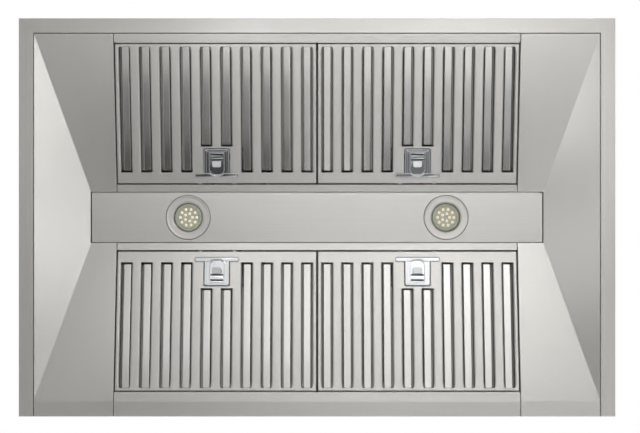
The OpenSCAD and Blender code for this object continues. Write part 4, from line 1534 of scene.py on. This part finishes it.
@dataclass
class Blower:
    """Scroll housing with its inlets, the impeller and its motor."""

    fold: float = 0.8 * MM
    sheet: float = 1 * MM
    motor_edge: float = 1.2 * MM
    screw_edge: float = 0.4 * MM

    def build(self) -> None:
        """Finishes the blower's pieces."""
        Softener(self.fold, self.sheet).make(Finishes.galvanised, "inlet_rings", "motor_bracket")
        Shop.dress(Finishes.galvanised, "blower_housing", "impeller")
        Shop.dress(Finishes.chimney, "impeller_shaft")
        Softener(self.motor_edge).make(Finishes.motor, "motor")
        Softener(self.screw_edge, self.screw_edge).make(Finishes.galvanised, "blower_screws")


@dataclass
class DuctAndChimney:
    """Collar with its damper, the chimney covers and their bracket."""

    fold: float = 0.7 * MM
    sheet: float = 1 * MM
    cover_fold: float = 0.9 * MM

    def build(self) -> None:
        """Softens the sheets and finishes the damper."""
        Softener(self.fold, self.sheet).make(Finishes.galvanised, "duct_collar", "front_damper_flap",
                                             "rear_damper_flap", "chimney_bracket")
        Shop.dress(Finishes.chimney, "damper_pin")
        Softener(self.cover_fold).make(Finishes.chimney, "lower_chimney", "upper_chimney")


@dataclass
class Wiring:
    """Junction box on the deck, its gland, and the leads inside the canopy."""

    fold: float = 0.8 * MM
    sheet: float = 1 * MM
    gland_edge: float = 0.7 * MM

    def build(self) -> None:
        """Softens the box and finishes the leads."""
        Softener(self.fold, self.sheet).make(Finishes.galvanised, "junction_box", "junction_box_cover")
        Softener(self.gland_edge).make(Finishes.gland, "cable_gland")
        Shop.dress(Finishes.wire, "inner_wiring")


# Stage

@dataclass(frozen=True)
class Softbox:
    """Rectangular light, hung at one point and aimed at another. Metal shows it if mirrored."""

    name: str
    at: Point3
    aim: Point3
    size: Point2
    power: float
    spread: float = 180.0
    mirrored: bool = True

    def hang(self) -> None:
        """Puts the light into the scene."""
        data = bpy.data.lights.new(self.name, "AREA")
        data.shape = "RECTANGLE"
        data.size, data.size_y = self.size
        data.energy = self.power
        data.spread = math.radians(self.spread)
        light = bpy.data.objects.new(self.name, data)
        light.location = self.at
        light.rotation_mode = "QUATERNION"
        light.rotation_quaternion = (Vector(self.aim) - Vector(self.at)).to_track_quat("-Z", "Y")
        light.visible_camera = False
        light.visible_glossy = self.mirrored
        bpy.context.scene.collection.objects.link(light)


@dataclass
class Studio:
    """Camera under the hood, pale floor, soft light, and grey cards that paint shade into the reflections."""

    eye: Point3 = (0.0045, -0.3064, -2.05)
    lens: float = 66.1
    sensor: float = 36.0
    floor_z: float = -2.4
    floor_size: float = 16.0
    floor_colour: Colour = (0.78, 0.77, 0.75)
    world_light: float = 0.35
    floor_share: float = 0.92
    floor_glow: float = 0.8
    shade_card_lift: float = 10 * MM
    # Cards of painted shade, seen only in reflections: low corner, high corner and how light. They darken the
    # reflections in the front filters and their latches.
    reflected_shade_cards: tuple[tuple[Point2, Point2, float], ...] = (
        ((-0.75, -0.22), (-0.04, 0.02), 0.29), ((-0.75, 0.02), (-0.04, 0.2), 0.08),
        ((0.1, -0.2), (0.95, 0.02), 0.45), ((0.15, 0.02), (0.75, 0.2), 0.16))
    pools: tuple[tuple[str, Point3, float, float], ...] = (
        ("left_pool", (-1.1, -0.5, -1.5), 0.5, 0.3), ("mid_pool", (0.1, -0.4, -1.7), 0.3, 0.5),
        ("front_pool", (0.0, -0.9, -1.5), 0.5, 3.4), ("rear_pool", (0.3, 0.38, -1.5), 0.5, 4.2),
        ("corner_pool", (0.9, 0.3, -1.5), 0.5, 1.3), ("spot", (0.5, -0.8, -1.9), 0.2, 3.0))

    def camera(self) -> None:
        """Sets a camera that looks straight up, with the front of the hood at the top."""
        data = bpy.data.cameras.new("camera")
        data.lens = self.lens
        data.sensor_width = self.sensor
        camera = bpy.data.objects.new("camera", data)
        camera.location = self.eye
        camera.rotation_euler = (math.pi, 0, 0)
        bpy.context.scene.collection.objects.link(camera)
        bpy.context.scene.camera = camera

    def world(self) -> None:
        """Sets soft light all round, with a white background."""
        world = bpy.data.worlds.new("studio")
        graph = Graph.blank(world)
        camera, glossy, through = [graph.node("ShaderNodeLightPath", None, None, name)
                                   for name in ("Is Camera Ray", "Is Glossy Ray", "Is Transmission Ray")]
        seen = (camera + glossy + through).clamp(0.0, 1.0)
        strength = seen * (1.0 - self.world_light) + self.world_light
        back = graph.node("ShaderNodeBackground", None, {"Color": (1, 1, 1, 1), "Strength": strength})
        graph.surface(back, "ShaderNodeOutputWorld")
        bpy.context.scene.world = world

    def floor(self) -> None:
        """Lays a pale floor, seen through from below."""
        work = bmesh.new()
        bmesh.ops.create_grid(work, x_segments=1, y_segments=1, size=self.floor_size / 2)
        floor = Shop.mesh_object("floor", work)
        floor.location = (0, 0, self.floor_z)
        material = bpy.data.materials.new("floor")
        graph = Graph.blank(material)
        speck = graph.noise(3.0, 3.0)
        paint = graph.node("ShaderNodeBsdfDiffuse", None, {
            "Color": graph.mix(speck, tone(self.floor_colour, 0.98), tone(self.floor_colour, 1.02))})
        clear = graph.node("ShaderNodeBsdfTransparent")
        below = graph.node("ShaderNodeNewGeometry", None, None, "Backfacing")
        shown = graph.node("ShaderNodeLightPath", None, None, "Is Camera Ray")
        glow = graph.node("ShaderNodeEmission", None, {
            "Color": (*self.floor_colour, 1.0), "Strength": self.floor_glow})
        pale = graph.node("ShaderNodeMixShader", None, {0: shown * self.floor_share, 1: paint, 2: glow})
        graph.surface(graph.node("ShaderNodeMixShader", None, {0: below, 1: pale, 2: clear}))
        floor.data.materials.append(material)

    def reflected_shade_card(self, name: str, low: Point2, high: Point2, shade: float) -> None:
        """Lays a grey card on the floor, which only reflections see: painted shade, dark patches in the metal's
        reflections.

        Args:
            name: Its name.
            low: Its corner at the lowest X and Y.
            high: Its corner at the highest X and Y.
            shade: How light it is, from 0 to 1.
        """
        work = bmesh.new()
        add_rectangle(work, low, high, 0.0)
        reflected_shade_card = Shop.mesh_object(name, work)
        reflected_shade_card.location = (0, 0, self.floor_z + self.shade_card_lift)
        # Hidden from the camera and from diffuse light: painted shade that only reflections show.
        reflected_shade_card.visible_camera = False
        reflected_shade_card.visible_diffuse = False
        material = bpy.data.materials.new(name)
        graph = Graph.blank(material)
        # Painted shade: a slightly uneven grey that the reflections show.
        painted_shade_tone = graph.mix(graph.noise(60.0), (shade * 0.92,) * 3, (shade * 1.08,) * 3)
        graph.surface(graph.node("ShaderNodeBsdfDiffuse", None, {"Color": painted_shade_tone}))
        reflected_shade_card.data.materials.append(material)

    def lights(self) -> None:
        """Hangs pools of light over the floor, and small lights for single faces."""
        Softbox("pool", (0.85, -0.9, -1.5), (0.8, -0.8, self.floor_z), (0.5, 0.5), 1.8).hang()
        for name, at, size, power in self.pools:
            Softbox(name, at, (at[0], at[1], self.floor_z), (size, size), power).hang()
        for light in (
                Softbox("top", (0.2, -1.65, 3.3), (0.0, -0.3, 0.0), (0.4, 0.4), 12.0, mirrored=False),
                Softbox("left_card", (-0.34, -0.56, -2.37), (-0.34, -0.56, 0.0), (0.7, 0.36), 0.19),
                Softbox("left_fill", (0.19, -0.2, -1.2), (-0.38, -0.2, -0.22), (0.25, 0.5), 0.005, 30.0),
                Softbox("right_fill", (-0.19, -0.2, -1.2), (0.38, -0.2, -0.22), (0.25, 0.7), 0.0065, 30.0),
                Softbox("right_kicker", (-0.19, -0.62, -1.2), (0.37, -0.45, -0.22), (0.3, 0.05), 0.12)):
            light.hang()

    def build(self) -> None:
        """Sets the background, floor, cards of painted shade and lights."""
        bpy.context.scene.view_settings.view_transform = "Standard"
        self.world()
        self.floor()
        for index, (low, high, shade) in enumerate(self.reflected_shade_cards):
            self.reflected_shade_card(f"flag_{index}", low, high, shade)
        self.lights()


def main() -> None:
    """Builds the hood and its stage."""
    logging.basicConfig(level=logging.INFO, format="%(name)s %(message)s")
    studio = Studio()
    studio.camera()
    for part in (Canopy(), Underside(), Filters(), Lamps(), Controls(), Blower(), DuctAndChimney(), Wiring()):
        LOG.info("building the %s", type(part).__name__)
        part.build()
    studio.build()


if __name__ == "__main__":
    main()
